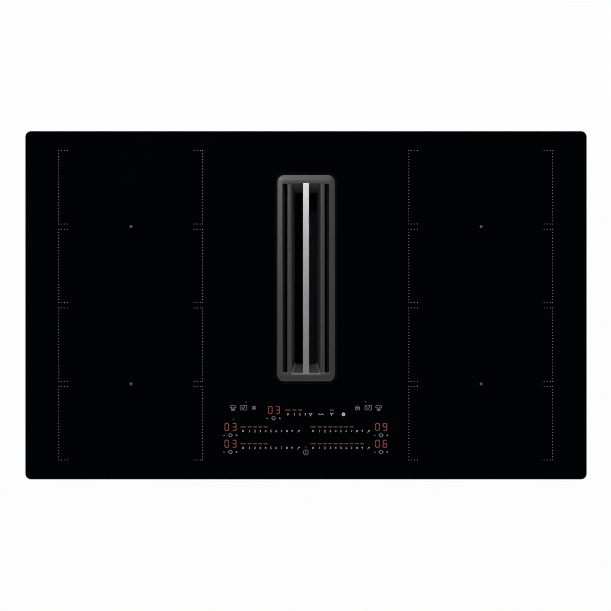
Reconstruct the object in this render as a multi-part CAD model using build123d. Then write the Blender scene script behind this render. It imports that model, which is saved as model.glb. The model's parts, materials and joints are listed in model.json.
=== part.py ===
from build123d import *
from math import acos, atan2, cos, degrees, hypot, radians, sin
import os

# An induction cooktop with its own downdraft extractor in the middle.
# Millimetres. X runs to the right, Y to the back, Z up. The origin is the middle of the
# glass plate on the plane of the worktop that the plate's seal rests on.

# ---------------------------------------------------------------- driving dimensions
# Glass plate and the seal under its rim
glass_width = 830.0
glass_depth = 515.0
glass_thickness = 4.0
glass_corner_radius = 8.5
glass_bevel = 0.8
seal_height = 1.0
seal_width = 8.0
seal_inset = 1.5
seal_corner_cut = 6.0

# Sheet-metal tray and the angle frame that bonds it to the glass
rim_overlap_sides = 25.0
rim_overlap_ends = 17.5
tray_height = 48.0
sheet = 1.0
window_gap = 2.0
frame_leg_height = 12.0
frame_leg_thickness = 1.5
frame_leg_gap = 0.2
frame_lip_out = 3.0
frame_lip_in = 12.0
vent_length = 46.0
vent_width = 4.0
vent_pitch = 9.0
vent_count = 6
exhaust_length = 22.0
exhaust_height = 5.0
exhaust_pitch = 30.0
exhaust_count = 4

# Lift-out inlet grille
inlet_back_gap = 30.0
grille_width = 85.0
grille_corner_radius = 10.0
grille_proud = 0.8
grille_gap = 2.7
rail_width = 8.0
side_slot_width = 7.0
rib_width = 5.75
end_rail_width = 11.0
side_slot_margin = 13.0
side_slot_cut = 1.5
grille_edge = 0.6
funnel_depth = 25.0
funnel_side_draft = 5.5
funnel_end_draft = 14.5
funnel_wall = 2.2
skirt_wall = 2.0
skirt_clearance = 0.7
hidden_cut = 6.0
pad_height = 1.0
pad_length = 14.0
pad_width = 2.4
pad_inset = 0.6
pad_spacing = 110.0
rest_gap = 0.3

# Bright bar that lies lengthways in the mouth of the grille
bar_width = 9.4
bar_height = 18.0
bar_end_gap = 0.3
bar_edge = 0.6
bar_seat_width = 7.4
bar_seat_reach = 16.0
bar_seat_height = 5.0
bar_tongue_width = 3.4
bar_tongue_length = 9.0
bar_tongue_height = 6.0
bar_tongue_inset = 5.0
bar_tongue_gap = 0.1

# Moulded collar under the glass
collar_flange = 3.0
collar_wall = 2.5
grille_seat = 3.0
cassette_seat = 3.0
cassette_seat_depth = 7.0
seat_ledge = 2.5
throat_cut = 3.0
fit_clearance = 0.5

# Filter cassette with its charcoal filters
cassette_height = 152.0
cassette_wall = 2.0
cassette_rim = 2.5
cassette_floor = 2.5
cassette_bays = 4
cassette_rib = 8.0
cassette_margin = 14.0
charcoal_thickness = 13.0
charcoal_height = 106.0
charcoal_border = 5.0
charcoal_pleats = 14
charcoal_sheet = 2.0
charcoal_fold_gap = 1.0

# Grease filter
grease_rim_inset = 1.0
grease_flange = 2.0
grease_wall = 1.4
hopper_clearance = 1.0
hopper_height = 34.0
basket_height = 96.0
basket_gap = 1.5
basket_bays = 4
basket_rib = 5.0
basket_border = 6.0
mesh_sheet = 0.8

# Filter cavity
cavity_wall = 2.5
cavity_side_channel = 19.0
cavity_end_channel = 14.0
cavity_floor_gap = 9.0
cavity_flange = 7.5
cavity_radius = 12.0
drain_width = 56.0
drain_length = 170.0
drain_lip = 10.0
drain_lip_width = 100.0
drain_lip_length = 226.0

# Spill tray that pushes over the lip under the cavity
hood_depth = 210.0
spill_wall = 2.0
spill_clearance = 0.4
spill_gap = 1.0
spill_rim = 3.0
spill_cut = 2.0
spill_draft = 4.0
spill_grip_width = 60.0
spill_grip_depth = 7.0
spill_grip_height = 4.0

# Radial fan and its housing
housing_wall = 2.5
plenum_height = 50.0
plenum_front_gap = 12.0
plenum_back_gap = 38.0
plenum_beyond_axis = 104.0
plenum_radius = 30.0
plenum_flange = 5.0
tray_gap = 1.0
hanger_inset = 22.0
hanger_size = 8.0
hanger_neck = 4.0
hanger_gap = 0.5
hanger_head_height = 2.0
fan_from_front = 98.0
fan_to_cavity = 127.5
eye_radius = 70.0
eye_lip = 5.0
eye_overlap = 4.0
ring_rim_width = 5.0
ring_rim_height = 1.2
wheel_radius = 92.0
wheel_gap = 16.0
volute_step = 12.0
volute_growth = 18.0
volute_last = 20.0
tongue_wedge = 5.6
tongue_radius = 4.0
scroll_height = 89.0
outlet_width = 212.0
outlet_back_gap = 37.0
ear_width = 14.0
ear_reach = 5.0
ear_root = 1.0
ear_angles = (228, 262, 300, 335)
ear_setbacks = (23, 83, 143)
clip_sheet = 1.0
clip_width = 10.0

# Fan wheel
wheel_height = 68.0
wheel_floor_gap = 7.0
wheel_plate = 2.0
wheel_ring_height = 3.0
wheel_ring_width = 8.0
blade_count = 30
blade_chord = 17.0
blade_sweep = 7.0
blade_bow = 2.6
blade_inset = 0.8
blade_thickness = 1.2
hub_radius = 42.0
hub_wall = 2.5
hub_height = 40.0
hub_edge = 3.0
hub_boss_radius = 9.0
hub_boss_height = 8.0

# Motor inside the wheel's hub
air_gap = 1.5
stator_height = 26.0
stator_lift = 6.0
stator_slots = 6
stator_slot_width = 9.0
stator_slot_depth = 17.0
winding_gap = 0.3
winding_depth = 12.0
motor_tube_radius = 9.0
shaft_radius = 3.0
shaft_end_gap = 1.0
running_clearance = 0.05
bearing_radius = 5.5
bearing_width = 8.0
mount_radius = 84.0
mount_corner_cut = 26.0
mount_plate = 3.0
mount_hole_gap = 1.5
damper_circle = 54.0
damper_size = 10.0
damper_height = 4.0
damper_count = 3

# Duct spigot
spigot_length = 38.0
spigot_width = 218.0
spigot_height = 84.0
spigot_wall = 2.0
spigot_radius = 9.0
spigot_flange = 4.0
spigot_flange_thickness = 3.0

# Induction coils
coil_count = 4
coil_zone_width = 213.5
coil_zone_margin = 24.5
coil_end_margin = 7.5
coil_gap = 9.0
coil_thickness = 4.2
coil_band = 34.0
coil_corner_cuts = (21.0, 8.0)
coil_eye_cut = 10.0
coil_glass_gap = 1.5
mica_thickness = 0.5
ferrite_height = 4.6
ferrite_width = 10.0
ferrite_length = 30.0
ferrite_pitch = 70.0
ferrite_columns = 2
coil_plate_thickness = 1.5
coil_plate_border = 5.0
sensor_size = 12.0
sensor_height = 4.0
sensor_tip = 5.0
leaf_width = 10.0
leaf_length = 26.0
leaf_foot = 15.0
leaf_thickness = 0.8
leaf_margin = 4.0
leaf_edge = 1.0

# Power electronics
board_thickness = 1.6
board_side_gap = 8.75
board_length = 268.0
board_lift = 5.0
board_back_gap = 14.0
board_foot = 7.0
board_foot_inset = 10.0
sink_width = 52.0
sink_length = 190.0
sink_base = 4.0
sink_fin_height = 14.0
sink_fin_count = 9
sink_fin_thickness = 1.6
choke_size = 34.0
choke_height = 12.0
choke_winding = 20.0
choke_winding_height = 18.0
capacitor_radius = 9.0
capacitor_height = 20.0
capacitor_count = 2
part_pitch = 44.0
relay_size = 18.0
relay_height = 15.0
relay_count = 4
cooler_size = 84.0
cooler_height = 22.0
cooler_wall_gap = 30.0
cooler_bore_radius = 38.0
cooler_bore_sides = 28
cooler_hub_size = 32.0
cooler_strut_width = 5.0
cooler_strut_height = 3.0
cooler_hub_radius = 14.0
cooler_blades = 7
cooler_tip_gap = 1.8
cooler_top_gap = 1.0
cooler_blade_width = 16.0
cooler_blade_thickness = 1.4
cooler_blade_lean = 38.0

# Touch controls
control_side_gap = 16.0
control_length = 92.0
control_height = 9.0
control_wall = 2.0
control_front_gap = 14.0
control_back_gap = 4.0
control_post = 1.5
control_post_size = 4.0
control_board_gap = 0.5
display_width = 17.0
display_length = 11.0
display_gap = 0.5
display_margin = 24.5
display_pitch = 24.8
display_hood_x = -47.3

# Mains terminal box
terminal_width = 112.0
terminal_length = 46.0
terminal_height = 30.0
terminal_wall = 2.0
terminal_inset = 34.0
terminal_block_width = 76.0
terminal_block_length = 18.0
terminal_block_height = 15.0
terminal_poles = 6
terminal_slot = 7.0
terminal_slot_depth = 6.0
inlet_hole_size = 20.0
grommet_bore_radius = 6.5
grommet_neck_gap = 0.1
grommet_length = 9.0
grommet_flange = 2.5

# Worktop clamps
clamp_from_end = 42.0
clamp_pivot_gap = 8.5
clamp_plate = 1.5
clamp_ear_width = 16.0
clamp_ear_reach = 13.0
clamp_top_gap = 6.0
clamp_foot_gap = 3.0
clamp_arm_width = 12.0
clamp_arm_length = 46.0
clamp_arm_thickness = 3.0
clamp_arm_level = 40.0
clamp_arm_cut = 2.5
clamp_tip_length = 8.0
clamp_tip_height = 1.5
clamp_screw_radius = 2.5
clamp_screw_head = 4.6
clamp_screw_head_height = 3.0
clamp_screw_sides = 6
clamp_hole_gap = 0.08

# ---------------------------------------------------------------- worked-out levels and places
glass_low = seal_height
glass_high = glass_low + glass_thickness
tray_width = glass_width - 2 * rim_overlap_sides
tray_depth = glass_depth - 2 * rim_overlap_ends
tray_low = -tray_height
tray_floor = tray_low + sheet
tray_inner_width = tray_width - 2 * sheet
tray_inner_depth = tray_depth - 2 * sheet
inlet_front = control_front_gap + control_length + control_back_gap - tray_depth / 2
inlet_back = tray_depth / 2 - inlet_back_gap
inlet_offset = (inlet_front + inlet_back) / 2

collar_length = inlet_back - inlet_front
cavity_length = collar_length - 2 * cavity_flange
cavity_inner_length = cavity_length - 2 * cavity_wall
cassette_length = cavity_inner_length - 2 * cavity_end_channel
throat_length = cassette_length + 2 * fit_clearance
seat_length = throat_length + 2 * cassette_seat
grille_length = seat_length + 2 * grille_seat

grille_high = glass_high + grille_proud
grille_low = glass_low + pad_height
mouth_width = grille_width - 2 * (rail_width + side_slot_width + rib_width)
mouth_length = grille_length - 2 * end_rail_width
funnel_low = grille_high - funnel_depth
seat_width = grille_width - 2 * grille_seat
seat_radius = grille_corner_radius - grille_seat
bar_low = grille_high - bar_height

collar_low = glass_low - collar_flange
ledge_high = glass_low - cassette_seat_depth
ledge_low = ledge_high - seat_ledge
throat_width = seat_width - 2 * cassette_seat

rim_width = seat_width - 2 * fit_clearance
rim_length = seat_length - 2 * fit_clearance
rim_radius = seat_radius - fit_clearance
rim_low = ledge_high + rest_gap
rim_high = rim_low + cassette_rim
cassette_width = throat_width - 2 * fit_clearance
cassette_low = rim_high - cassette_height
cassette_inner_width = cassette_width - 2 * cassette_wall
cassette_inner_length = cassette_length - 2 * cassette_wall
charcoal_low = cassette_low + cassette_floor
charcoal_x = cassette_inner_width / 2 - charcoal_thickness / 2
charcoal_length = cassette_inner_length - 2 * cassette_margin

grease_low = rim_high + rest_gap
grease_high = grease_low + grease_flange
hopper_low = grease_low - hopper_height
basket_low = hopper_low - basket_height
basket_width = 2 * (charcoal_x - charcoal_thickness / 2 - basket_gap)
basket_length = charcoal_length
skirt_low = grease_high + rest_gap

cavity_inner_width = cassette_width + 2 * cavity_side_channel
cavity_width = cavity_inner_width + 2 * cavity_wall
cavity_floor = cassette_low - cavity_floor_gap
cavity_low = cavity_floor - cavity_wall
collar_width = cavity_width + 2 * cavity_flange
spill_high = cavity_low - spill_gap
spill_low = -hood_depth
spill_width = drain_lip_width + 2 * (spill_clearance + spill_wall)
spill_length = drain_lip_length + 2 * (spill_clearance + spill_wall)

fan_x = cavity_width / 2 + fan_to_cavity
plenum_length = cavity_inner_length - plenum_front_gap - plenum_back_gap
plenum_y = inlet_offset + (plenum_front_gap - plenum_back_gap) / 2
fan_y = plenum_y - plenum_length / 2 + fan_from_front
plenum_high = tray_low - tray_gap
plenum_right = fan_x + plenum_beyond_axis
lid_high = plenum_high - housing_wall - plenum_height
lid_low = lid_high - housing_wall
scroll_floor = lid_low - scroll_height
scroll_low = scroll_floor - housing_wall
wheel_low = scroll_floor + wheel_floor_gap
wheel_high = wheel_low + wheel_height
volute_radius = wheel_radius + wheel_gap
outlet_right = fan_x + volute_radius + volute_step + 2 * volute_growth + volute_last
outlet_left = outlet_right - outlet_width
outlet_line = tray_depth / 2 - outlet_back_gap
outlet_x = outlet_right - outlet_width / 2
outlet_z = (lid_low + scroll_floor) / 2

hub_high = wheel_low + hub_height
stator_radius = hub_radius - hub_wall - air_gap
mount_high = scroll_low - damper_height
mount_low = mount_high - mount_plate
stator_low = wheel_low + stator_lift
motor_tube_high = stator_low + stator_height

mica_low = glass_low - mica_thickness
coil_high = glass_low - coil_glass_gap
coil_low = coil_high - coil_thickness
ferrite_low = coil_low - ferrite_height
coil_plate_low = ferrite_low - coil_plate_thickness
zone_x = tray_width / 2 - coil_zone_margin - coil_zone_width / 2
coil_pitch = (tray_depth - 2 * coil_end_margin) / coil_count
coil_length = coil_pitch - coil_gap
coil_plate_length = coil_count * coil_pitch - coil_gap + 2 * coil_plate_border
board_width = coil_zone_width - 2 * board_side_gap
board_low = tray_floor + board_lift
board_high = board_low + board_thickness
board_y = tray_depth / 2 - board_back_gap - board_length / 2
cooler_y = cooler_wall_gap + cooler_size / 2 - tray_depth / 2
control_width = 2 * (zone_x - coil_zone_width / 2 - control_side_gap)
display_across = control_width / 2 - display_margin
control_y = control_front_gap + control_length / 2 - tray_depth / 2
control_low = glass_low - control_height
control_board_low = control_low + control_wall + control_post
control_board_high = control_board_low + board_thickness
terminal_x = terminal_inset + terminal_width / 2 - tray_width / 2
terminal_y = tray_depth / 2 - terminal_length / 2
terminal_low = tray_low - terminal_height
clamp_x = tray_width / 2 + clamp_pivot_gap
clamp_y = tray_depth / 2 - clamp_from_end


# ---------------------------------------------------------------- shared shapes
def slab(width, length, radius, low, high, x=0.0, y=0.0):
    """An upright block with rounded corners between two levels."""
    outline = RectangleRounded(width, length, radius) if radius > 0 else Rectangle(width, length)
    return Pos(x, y, low) * extrude(outline, high - low)


def cut_slab(width, length, cut, low, high, x=0.0, y=0.0):
    """An upright block whose corners are cut off at 45 degrees."""
    outline = Rectangle(width, length)
    outline = chamfer(outline.vertices(), cut)
    return Pos(x, y, low) * extrude(outline, high - low)


def block(left, right, front, back, low, high):
    """A plain upright block between six planes."""
    return slab(right - left, back - front, 0, low, high, (left + right) / 2, (front + back) / 2)


def disc(radius, low, high, x=0.0, y=0.0):
    """An upright round block between two levels."""
    return Pos(x, y, low) * extrude(Circle(radius), high - low)


def ring(outer, inner, low, high, x=0.0, y=0.0):
    """An upright tube between two levels."""
    return Pos(x, y, low) * extrude(Circle(outer) - Circle(inner), high - low)


def frustum(low_size, high_size, low, high, y=0.0):
    """A block with sloping flat walls: its (width, length) changes as it rises."""
    reach = max(*low_size, *high_size)
    sides = []
    for plane, index in ((Plane.XZ, 0), (Plane.YZ, 1)):
        bottom, top = low_size[index] / 2, high_size[index] / 2
        face = make_face(Polyline((-bottom, low), (bottom, low), (top, high), (-top, high), close=True))
        sides.append(extrude(plane * face, reach, both=True))
    return Pos(0, y, 0) * (sides[0] & sides[1])


def one_solid(shape):
    """The largest solid of a shape, without its wrapping."""
    return shape.solids().sort_by(SortBy.VOLUME)[-1]


def group(shapes):
    """Separate solids that share one node."""
    return Compound(children=[one_solid(shape) for shape in shapes])


def turned(shape, count):
    """Copies of a shape, spread evenly round the Z axis."""
    return [Rot(0, 0, 360 * index / count) * shape for index in range(count)]


def spread(count, pitch):
    """Evenly spaced places about zero."""
    return [(index - (count - 1) / 2) * pitch for index in range(count)]


def mirrored(shape):
    """The same shape on the left-hand side."""
    return mirror(shape, about=Plane.YZ)


def write(name, shape):
    """Saves one sub-part under its node's name."""
    export_step(shape, os.path.join("parts", name + ".step"))


# ---------------------------------------------------------------- glass, seal, frame, tray
def glass_top():
    plate = slab(glass_width, glass_depth, glass_corner_radius, glass_low, glass_high)
    plate -= slab(
        grille_width + 2 * grille_gap, grille_length + 2 * grille_gap,
        grille_corner_radius + grille_gap, glass_low, glass_high, y=inlet_offset,
    )
    return one_solid(chamfer(plate.edges().group_by(Axis.Z)[-1], glass_bevel))


def rim_seal():
    width = glass_width - 2 * seal_inset
    depth = glass_depth - 2 * seal_inset
    seal = cut_slab(width, depth, seal_corner_cut, 0, glass_low)
    return one_solid(seal - slab(width - 2 * seal_width, depth - 2 * seal_width, 0, 0, glass_low))


def support_frame():
    """An angle frame: its lip is bonded under the glass, its leg stands inside the tray."""
    lip = slab(tray_width + 2 * frame_lip_out, tray_depth + 2 * frame_lip_out, 0, 0, glass_low)
    lip -= slab(
        tray_inner_width - 2 * frame_lip_in, tray_inner_depth - 2 * frame_lip_in, 0, 0, glass_low
    )
    width = tray_inner_width - 2 * frame_leg_gap
    depth = tray_inner_depth - 2 * frame_leg_gap
    leg = slab(width, depth, 0, -frame_leg_height, 0)
    leg -= slab(
        width - 2 * frame_leg_thickness, depth - 2 * frame_leg_thickness, 0, -frame_leg_height, 0
    )
    return one_solid(lip + leg)


def base_tray():
    """The folded tray, with air slots under the cooling fans and in its front wall."""
    tray = slab(tray_width, tray_depth, 0, tray_low, 0)
    tray -= slab(tray_inner_width, tray_inner_depth, 0, tray_floor, 0)
    tray -= slab(
        cavity_width + 2 * window_gap, cavity_length + 2 * window_gap, 0, tray_low, tray_floor,
        y=inlet_offset,
    )
    for side in (-1, 1):
        for step in spread(vent_count, vent_pitch):
            tray -= slab(
                vent_length, vent_width, 0, tray_low, tray_floor, side * zone_x, cooler_y + step
            )
        for step in spread(exhaust_count, exhaust_pitch):
            x = side * zone_x + step
            tray -= block(
                x - exhaust_length / 2, x + exhaust_length / 2,
                -tray_depth / 2, sheet - tray_depth / 2,
                (tray_low - exhaust_height) / 2, (tray_low + exhaust_height) / 2,
            )
    hole = hanger_neck + 2 * hanger_gap
    tray -= [slab(hole, hanger_size + 2 * hanger_gap, 0, tray_low, tray_floor, x, y)
             for x, y in hanger_places()]
    return one_solid(tray)


# ---------------------------------------------------------------- collar and filter cavity
def inlet_collar():
    """The collar under the glass, with one seat for the grille and one for the filters."""
    collar = slab(collar_width, collar_length, 0, collar_low, glass_low, y=inlet_offset)
    collar += slab(
        seat_width + 2 * collar_wall, seat_length + 2 * collar_wall, 0, ledge_low, collar_low,
        y=inlet_offset,
    )
    collar -= slab(seat_width, seat_length, seat_radius, ledge_high, glass_low, y=inlet_offset)
    collar -= cut_slab(
        throat_width, throat_length, throat_cut, ledge_low, ledge_high, y=inlet_offset
    )
    return one_solid(collar)


def filter_cavity():
    """The moulded box that holds the filters; spilt liquid leaves through its floor."""
    cavity = slab(cavity_width, cavity_length, cavity_radius, cavity_low, collar_low, y=inlet_offset)
    cavity += slab(collar_width, collar_length, 0, collar_low - cavity_wall, collar_low, y=inlet_offset)
    cavity += slab(
        drain_lip_width, drain_lip_length, 0, cavity_low - drain_lip, cavity_low, y=inlet_offset
    )
    cavity -= slab(
        cavity_inner_width, cavity_inner_length, cavity_radius - cavity_wall,
        cavity_floor, collar_low, y=inlet_offset,
    )
    cavity -= slab(
        drain_lip_width - 2 * cavity_wall, drain_lip_length - 2 * cavity_wall, 0,
        cavity_low - drain_lip, cavity_low, y=inlet_offset,
    )
    cavity -= slab(drain_width, drain_length, 0, cavity_low, cavity_floor, y=inlet_offset)
    half_window = plenum_length / 2 - housing_wall
    cavity -= block(
        cavity_inner_width / 2, cavity_width / 2, plenum_y - half_window, plenum_y + half_window,
        lid_high, plenum_high - housing_wall,
    )
    return one_solid(cavity)


def spill_tray():
    """The tray that catches spilt liquid; it pushes up over the lip under the cavity."""
    lip_low = cavity_low - drain_lip
    tray = cut_slab(spill_width, spill_length, spill_cut, spill_low, spill_high, y=inlet_offset)
    tray += cut_slab(
        spill_width + 2 * spill_rim, spill_length + 2 * spill_rim, spill_cut + spill_rim,
        spill_high - spill_wall, spill_high, y=inlet_offset,
    )
    top = (spill_width - 2 * spill_wall, spill_length - 2 * spill_wall)
    floor = (top[0] - spill_draft, top[1] - spill_draft)
    tray -= slab(*top, 0, lip_low, spill_high, y=inlet_offset)
    tray -= frustum(floor, top, spill_low + spill_wall, lip_low, inlet_offset)
    for end in (-1, 1):
        middle = inlet_offset + end * (spill_length + spill_grip_depth) / 2
        tray += slab(
            spill_grip_width, spill_grip_depth, 0, spill_low, spill_low + spill_grip_height, y=middle
        )
    return one_solid(tray)


def spill_tray_seal():
    """A flat gasket on the rim of the tray, which closes against the floor of the cavity."""
    high = cavity_low - rest_gap
    seal = cut_slab(
        spill_width + 2 * spill_rim, spill_length + 2 * spill_rim, spill_cut + spill_rim,
        spill_high, high, y=inlet_offset,
    )
    return one_solid(seal - slab(
        spill_width - 2 * spill_wall, spill_length - 2 * spill_wall, 0, spill_high, high,
        y=inlet_offset,
    ))


# ---------------------------------------------------------------- inlet grille
def funnel(wall, low, high):
    """The space inside the sloping mouth between two levels, or its outside with a wall."""
    def size_at(level):
        share = (grille_high - level) / funnel_depth
        width = mouth_width + 2 * wall - 2 * funnel_side_draft * share
        return (width, mouth_length + 2 * wall - 2 * funnel_end_draft * share)

    return frustum(size_at(low), size_at(high), low, high, inlet_offset)


def funnel_end(level):
    """How far the inner end wall of the funnel is from its middle at a level."""
    return mouth_length / 2 - funnel_end_draft * (grille_high - level) / funnel_depth


def bar_tongue(end, gap=0.0):
    """The tongue on one seat that holds the bar, or its slot in the bar with a gap."""
    half = bar_tongue_length / 2
    middle = end * (funnel_end(bar_low) - bar_tongue_inset - half)
    high = bar_low + bar_tongue_height + gap
    return slab(
        bar_tongue_width + 2 * gap, bar_tongue_length + 2 * gap, 0, bar_low, high,
        y=inlet_offset + middle,
    )


def bar_seat(end):
    """The block under one end of the bar, grown from the funnel's end wall."""
    seat_low = bar_low - bar_seat_height
    inner = funnel_end(bar_low) - bar_seat_reach
    outer = funnel_end(seat_low) + funnel_wall / 2
    middle = inlet_offset + end * (inner + outer) / 2
    return slab(bar_seat_width, outer - inner, 0, seat_low, bar_low, y=middle)


def grille_frame():
    """The moulded frame: a flange with two side slots, a funnel mouth and a locating skirt."""
    frame = slab(
        grille_width, grille_length, grille_corner_radius, grille_low, grille_high, y=inlet_offset
    )
    skirt_width = seat_width - 2 * skirt_clearance
    skirt_length = seat_length - 2 * skirt_clearance
    skirt = cut_slab(skirt_width, skirt_length, hidden_cut, skirt_low, grille_low, y=inlet_offset)
    skirt -= cut_slab(
        skirt_width - 2 * skirt_wall, skirt_length - 2 * skirt_wall, hidden_cut - skirt_wall / 2,
        skirt_low, grille_low, y=inlet_offset,
    )
    slot_x = (grille_width - side_slot_width) / 2 - rail_width
    slot_length = grille_length - 2 * side_slot_margin
    for side in (-1, 1):
        frame -= cut_slab(
            side_slot_width, slot_length, side_slot_cut, grille_low, grille_high,
            side * slot_x, inlet_offset,
        )
    frame = frame + skirt + funnel(funnel_wall, funnel_low, grille_low)
    frame -= funnel(0, funnel_low, grille_high)
    edges = frame.edges().filter_by_position(Axis.Z, grille_high, grille_high)
    frame = chamfer(edges, grille_edge)
    for end in (-1, 1):
        frame = frame + bar_seat(end) + bar_tongue(end)
    return one_solid(frame)


def grille_bar():
    """The bright bar; its ends follow the sloping end walls of the mouth."""
    def half_length(level):
        return funnel_end(level) - bar_end_gap

    low, high = half_length(bar_low), half_length(grille_high)
    side = make_face(Polyline(
        (-low, bar_low), (low, bar_low), (high, grille_high), (-high, grille_high), close=True
    ))
    bar = extrude(Plane.YZ * side, bar_width / 2, both=True)
    bar = chamfer(bar.edges().filter_by(Axis.Y).group_by(Axis.Z)[-1], bar_edge)
    bar = Pos(0, inlet_offset, 0) * bar
    for end in (-1, 1):
        bar -= bar_tongue(end, bar_tongue_gap)
    return one_solid(bar)


def grille_pads():
    """Rubber pads under the flange, on the strip that rests on the collar."""
    x = (grille_width - pad_width) / 2 - pad_inset
    low = glass_low + rest_gap
    return group([
        slab(pad_width, pad_length, 0, low, grille_low, side * x, inlet_offset + step)
        for side in (-1, 1) for step in spread(3, pad_spacing)
    ])


# ---------------------------------------------------------------- filters
def filter_cassette():
    """The lift-out box with a row of windows on each side, behind which the charcoal stands."""
    body = cut_slab(cassette_width, cassette_length, throat_cut, cassette_low, rim_high, y=inlet_offset)
    body += slab(rim_width, rim_length, rim_radius, rim_low, rim_high, y=inlet_offset)
    body -= slab(
        cassette_inner_width, cassette_inner_length, 0, charcoal_low, rim_high, y=inlet_offset
    )
    bay = charcoal_length / cassette_bays
    window_low = charcoal_low + charcoal_border
    window_high = charcoal_low + charcoal_height - charcoal_border
    for step in spread(cassette_bays, bay):
        body -= slab(
            cassette_width, bay - cassette_rib, 0, window_low, window_high, y=inlet_offset + step
        )
    return one_solid(body)


def charcoal_filter():
    """One pleated charcoal filter in its moulded border, on the right-hand side."""
    low = charcoal_low + charcoal_border
    high = charcoal_low + charcoal_height
    inner_length = charcoal_length - 2 * charcoal_border
    border = slab(charcoal_thickness, charcoal_length, 0, charcoal_low, high, charcoal_x, inlet_offset)
    border -= slab(
        charcoal_thickness, inner_length, 0, low, high - charcoal_border, charcoal_x, inlet_offset
    )
    swing = (charcoal_thickness - charcoal_sheet) / 2 - charcoal_fold_gap
    folds = 2 * charcoal_pleats + 1
    near, far = [], []
    for index, step in enumerate(spread(folds, inner_length / (folds - 1))):
        middle = swing if index % 2 else -swing
        near.append((middle - charcoal_sheet / 2, step))
        far.append((middle + charcoal_sheet / 2, step))
    pleats = make_face(Polyline(*near, *reversed(far), close=True))
    pleats = extrude(pleats, charcoal_height - 2 * charcoal_border)
    return one_solid(border + Pos(charcoal_x, inlet_offset, low) * pleats)


def grease_filter_frame():
    """A rim and a hopper that narrows into an open basket."""
    rim = (rim_width - 2 * grease_rim_inset, rim_length - 2 * grease_rim_inset)
    mouth = (cassette_inner_width - 2 * hopper_clearance, cassette_inner_length - 2 * hopper_clearance)
    basket = (basket_width, basket_length)

    def inner(size):
        return (size[0] - 2 * grease_wall, size[1] - 2 * grease_wall)

    frame = cut_slab(*rim, hidden_cut, grease_low, grease_high, y=inlet_offset)
    frame += frustum(basket, mouth, hopper_low, grease_low, inlet_offset)
    frame += slab(*basket, 0, basket_low, hopper_low, y=inlet_offset)
    frame -= slab(*inner(mouth), 0, grease_low, grease_high, y=inlet_offset)
    frame -= frustum(inner(basket), inner(mouth), hopper_low, grease_low, inlet_offset)
    frame -= slab(*inner(basket), 0, basket_low + grease_wall, hopper_low, y=inlet_offset)
    bay = (basket_length - 2 * basket_border) / basket_bays
    for step in spread(basket_bays, bay):
        frame -= slab(
            basket_width, bay - basket_rib, 0, basket_low + basket_border,
            hopper_low - basket_border, y=inlet_offset + step,
        )
    return one_solid(frame)


def grease_filter_mesh():
    """The mesh liner that stands inside the basket."""
    width = basket_width - 2 * grease_wall
    length = basket_length - 2 * grease_wall
    low = basket_low + grease_wall
    mesh = slab(width, length, 0, low, hopper_low, y=inlet_offset)
    return one_solid(mesh - slab(
        width - 2 * mesh_sheet, length - 2 * mesh_sheet, 0, low + mesh_sheet, hopper_low,
        y=inlet_offset,
    ))


# ---------------------------------------------------------------- fan housing
def tongue_angle():
    """Where the outlet's slanted wall leaves the spiral: it makes the wedge with the first arc."""
    across, along = outlet_left - fan_x, outlet_line - fan_y
    share = volute_radius * cos(radians(tongue_wedge)) / hypot(across, along)
    return degrees(atan2(along, across) - acos(share)) + tongue_wedge


def volute_arcs():
    """Centre, radius and angles of each arc of the spiral, from the tongue to the outlet."""
    x, y, radius = fan_x, fan_y, volute_radius
    arcs = [(x, y, radius, tongue_angle(), 90)]
    for quarter, growth in enumerate((volute_step, volute_growth, volute_last), 1):
        x -= growth * cos(radians(90 * quarter))
        y -= growth * sin(radians(90 * quarter))
        radius += growth
        arcs.append((x, y, radius, 90 * quarter, 90 * quarter + 90))
    return arcs


def on_arc(arc, angle):
    x, y, radius = arc[:3]
    return (x + radius * cos(radians(angle)), y + radius * sin(radians(angle)))


def scroll_air():
    """The plan of the air space: a spiral of tangent arcs that opens into the outlet."""
    edges = []
    for arc in volute_arcs():
        first, last = arc[3:]
        points = [on_arc(arc, angle) for angle in (first, (first + last) / 2, last)]
        edges.append(ThreePointArc(*points))
    start = on_arc(volute_arcs()[0], tongue_angle())
    end = on_arc(volute_arcs()[-1], 360)
    outside = outlet_line + 2 * housing_wall
    edges.append(Polyline(
        end, (outlet_right, outside), (outlet_left, outside), (outlet_left, outlet_line), start
    ))
    plan = make_face(edges)
    tongue = plan.vertices().sort_by_distance(start)[0]
    return fillet(tongue, tongue_radius)


def scroll_plan():
    """The outside of the housing in plan, cut off square at the outlet."""
    beyond = Rectangle(4 * outlet_width, 4 * outlet_width)
    return offset(scroll_air(), housing_wall) - Pos(outlet_x, outlet_line + 2 * outlet_width) * beyond


def plenum_plan(inset=0.0):
    """The plenum in plan, square against the cavity and rounded beyond the fan."""
    left = cavity_width / 2
    right = plenum_right - inset
    plan = Pos((left + right) / 2, plenum_y) * Rectangle(right - left, plenum_length - 2 * inset)
    return fillet(plan.vertices().group_by(Axis.X)[-1], plenum_radius - inset)


def ear_places():
    """Where clips hold the lid down: round the spiral and along its straight side, facing out."""
    places = []
    for arc in volute_arcs():
        x, y, radius, first, last = arc
        for angle in ear_angles:
            if first < angle <= last:
                places.append(Pos(x, y) * Rot(0, 0, angle) * Pos(radius + housing_wall, 0))
    side = outlet_right + housing_wall
    return places + [Pos(side, outlet_line - setback) for setback in ear_setbacks]


def ears(low, high):
    ear = block(-ear_root, ear_reach, -ear_width / 2, ear_width / 2, low, high)
    return [place * ear for place in ear_places()]


def housing_clips():
    """Spring-steel clips that hold the ears of the lid and the scroll together."""
    low, high = lid_low - housing_wall, lid_high
    half = clip_width / 2
    clip = block(ear_root, ear_reach + clip_sheet, -half, half, low - clip_sheet, high + clip_sheet)
    clip -= block(0, ear_reach, -half, half, low, high)
    return group([place * clip for place in ear_places()])


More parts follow.
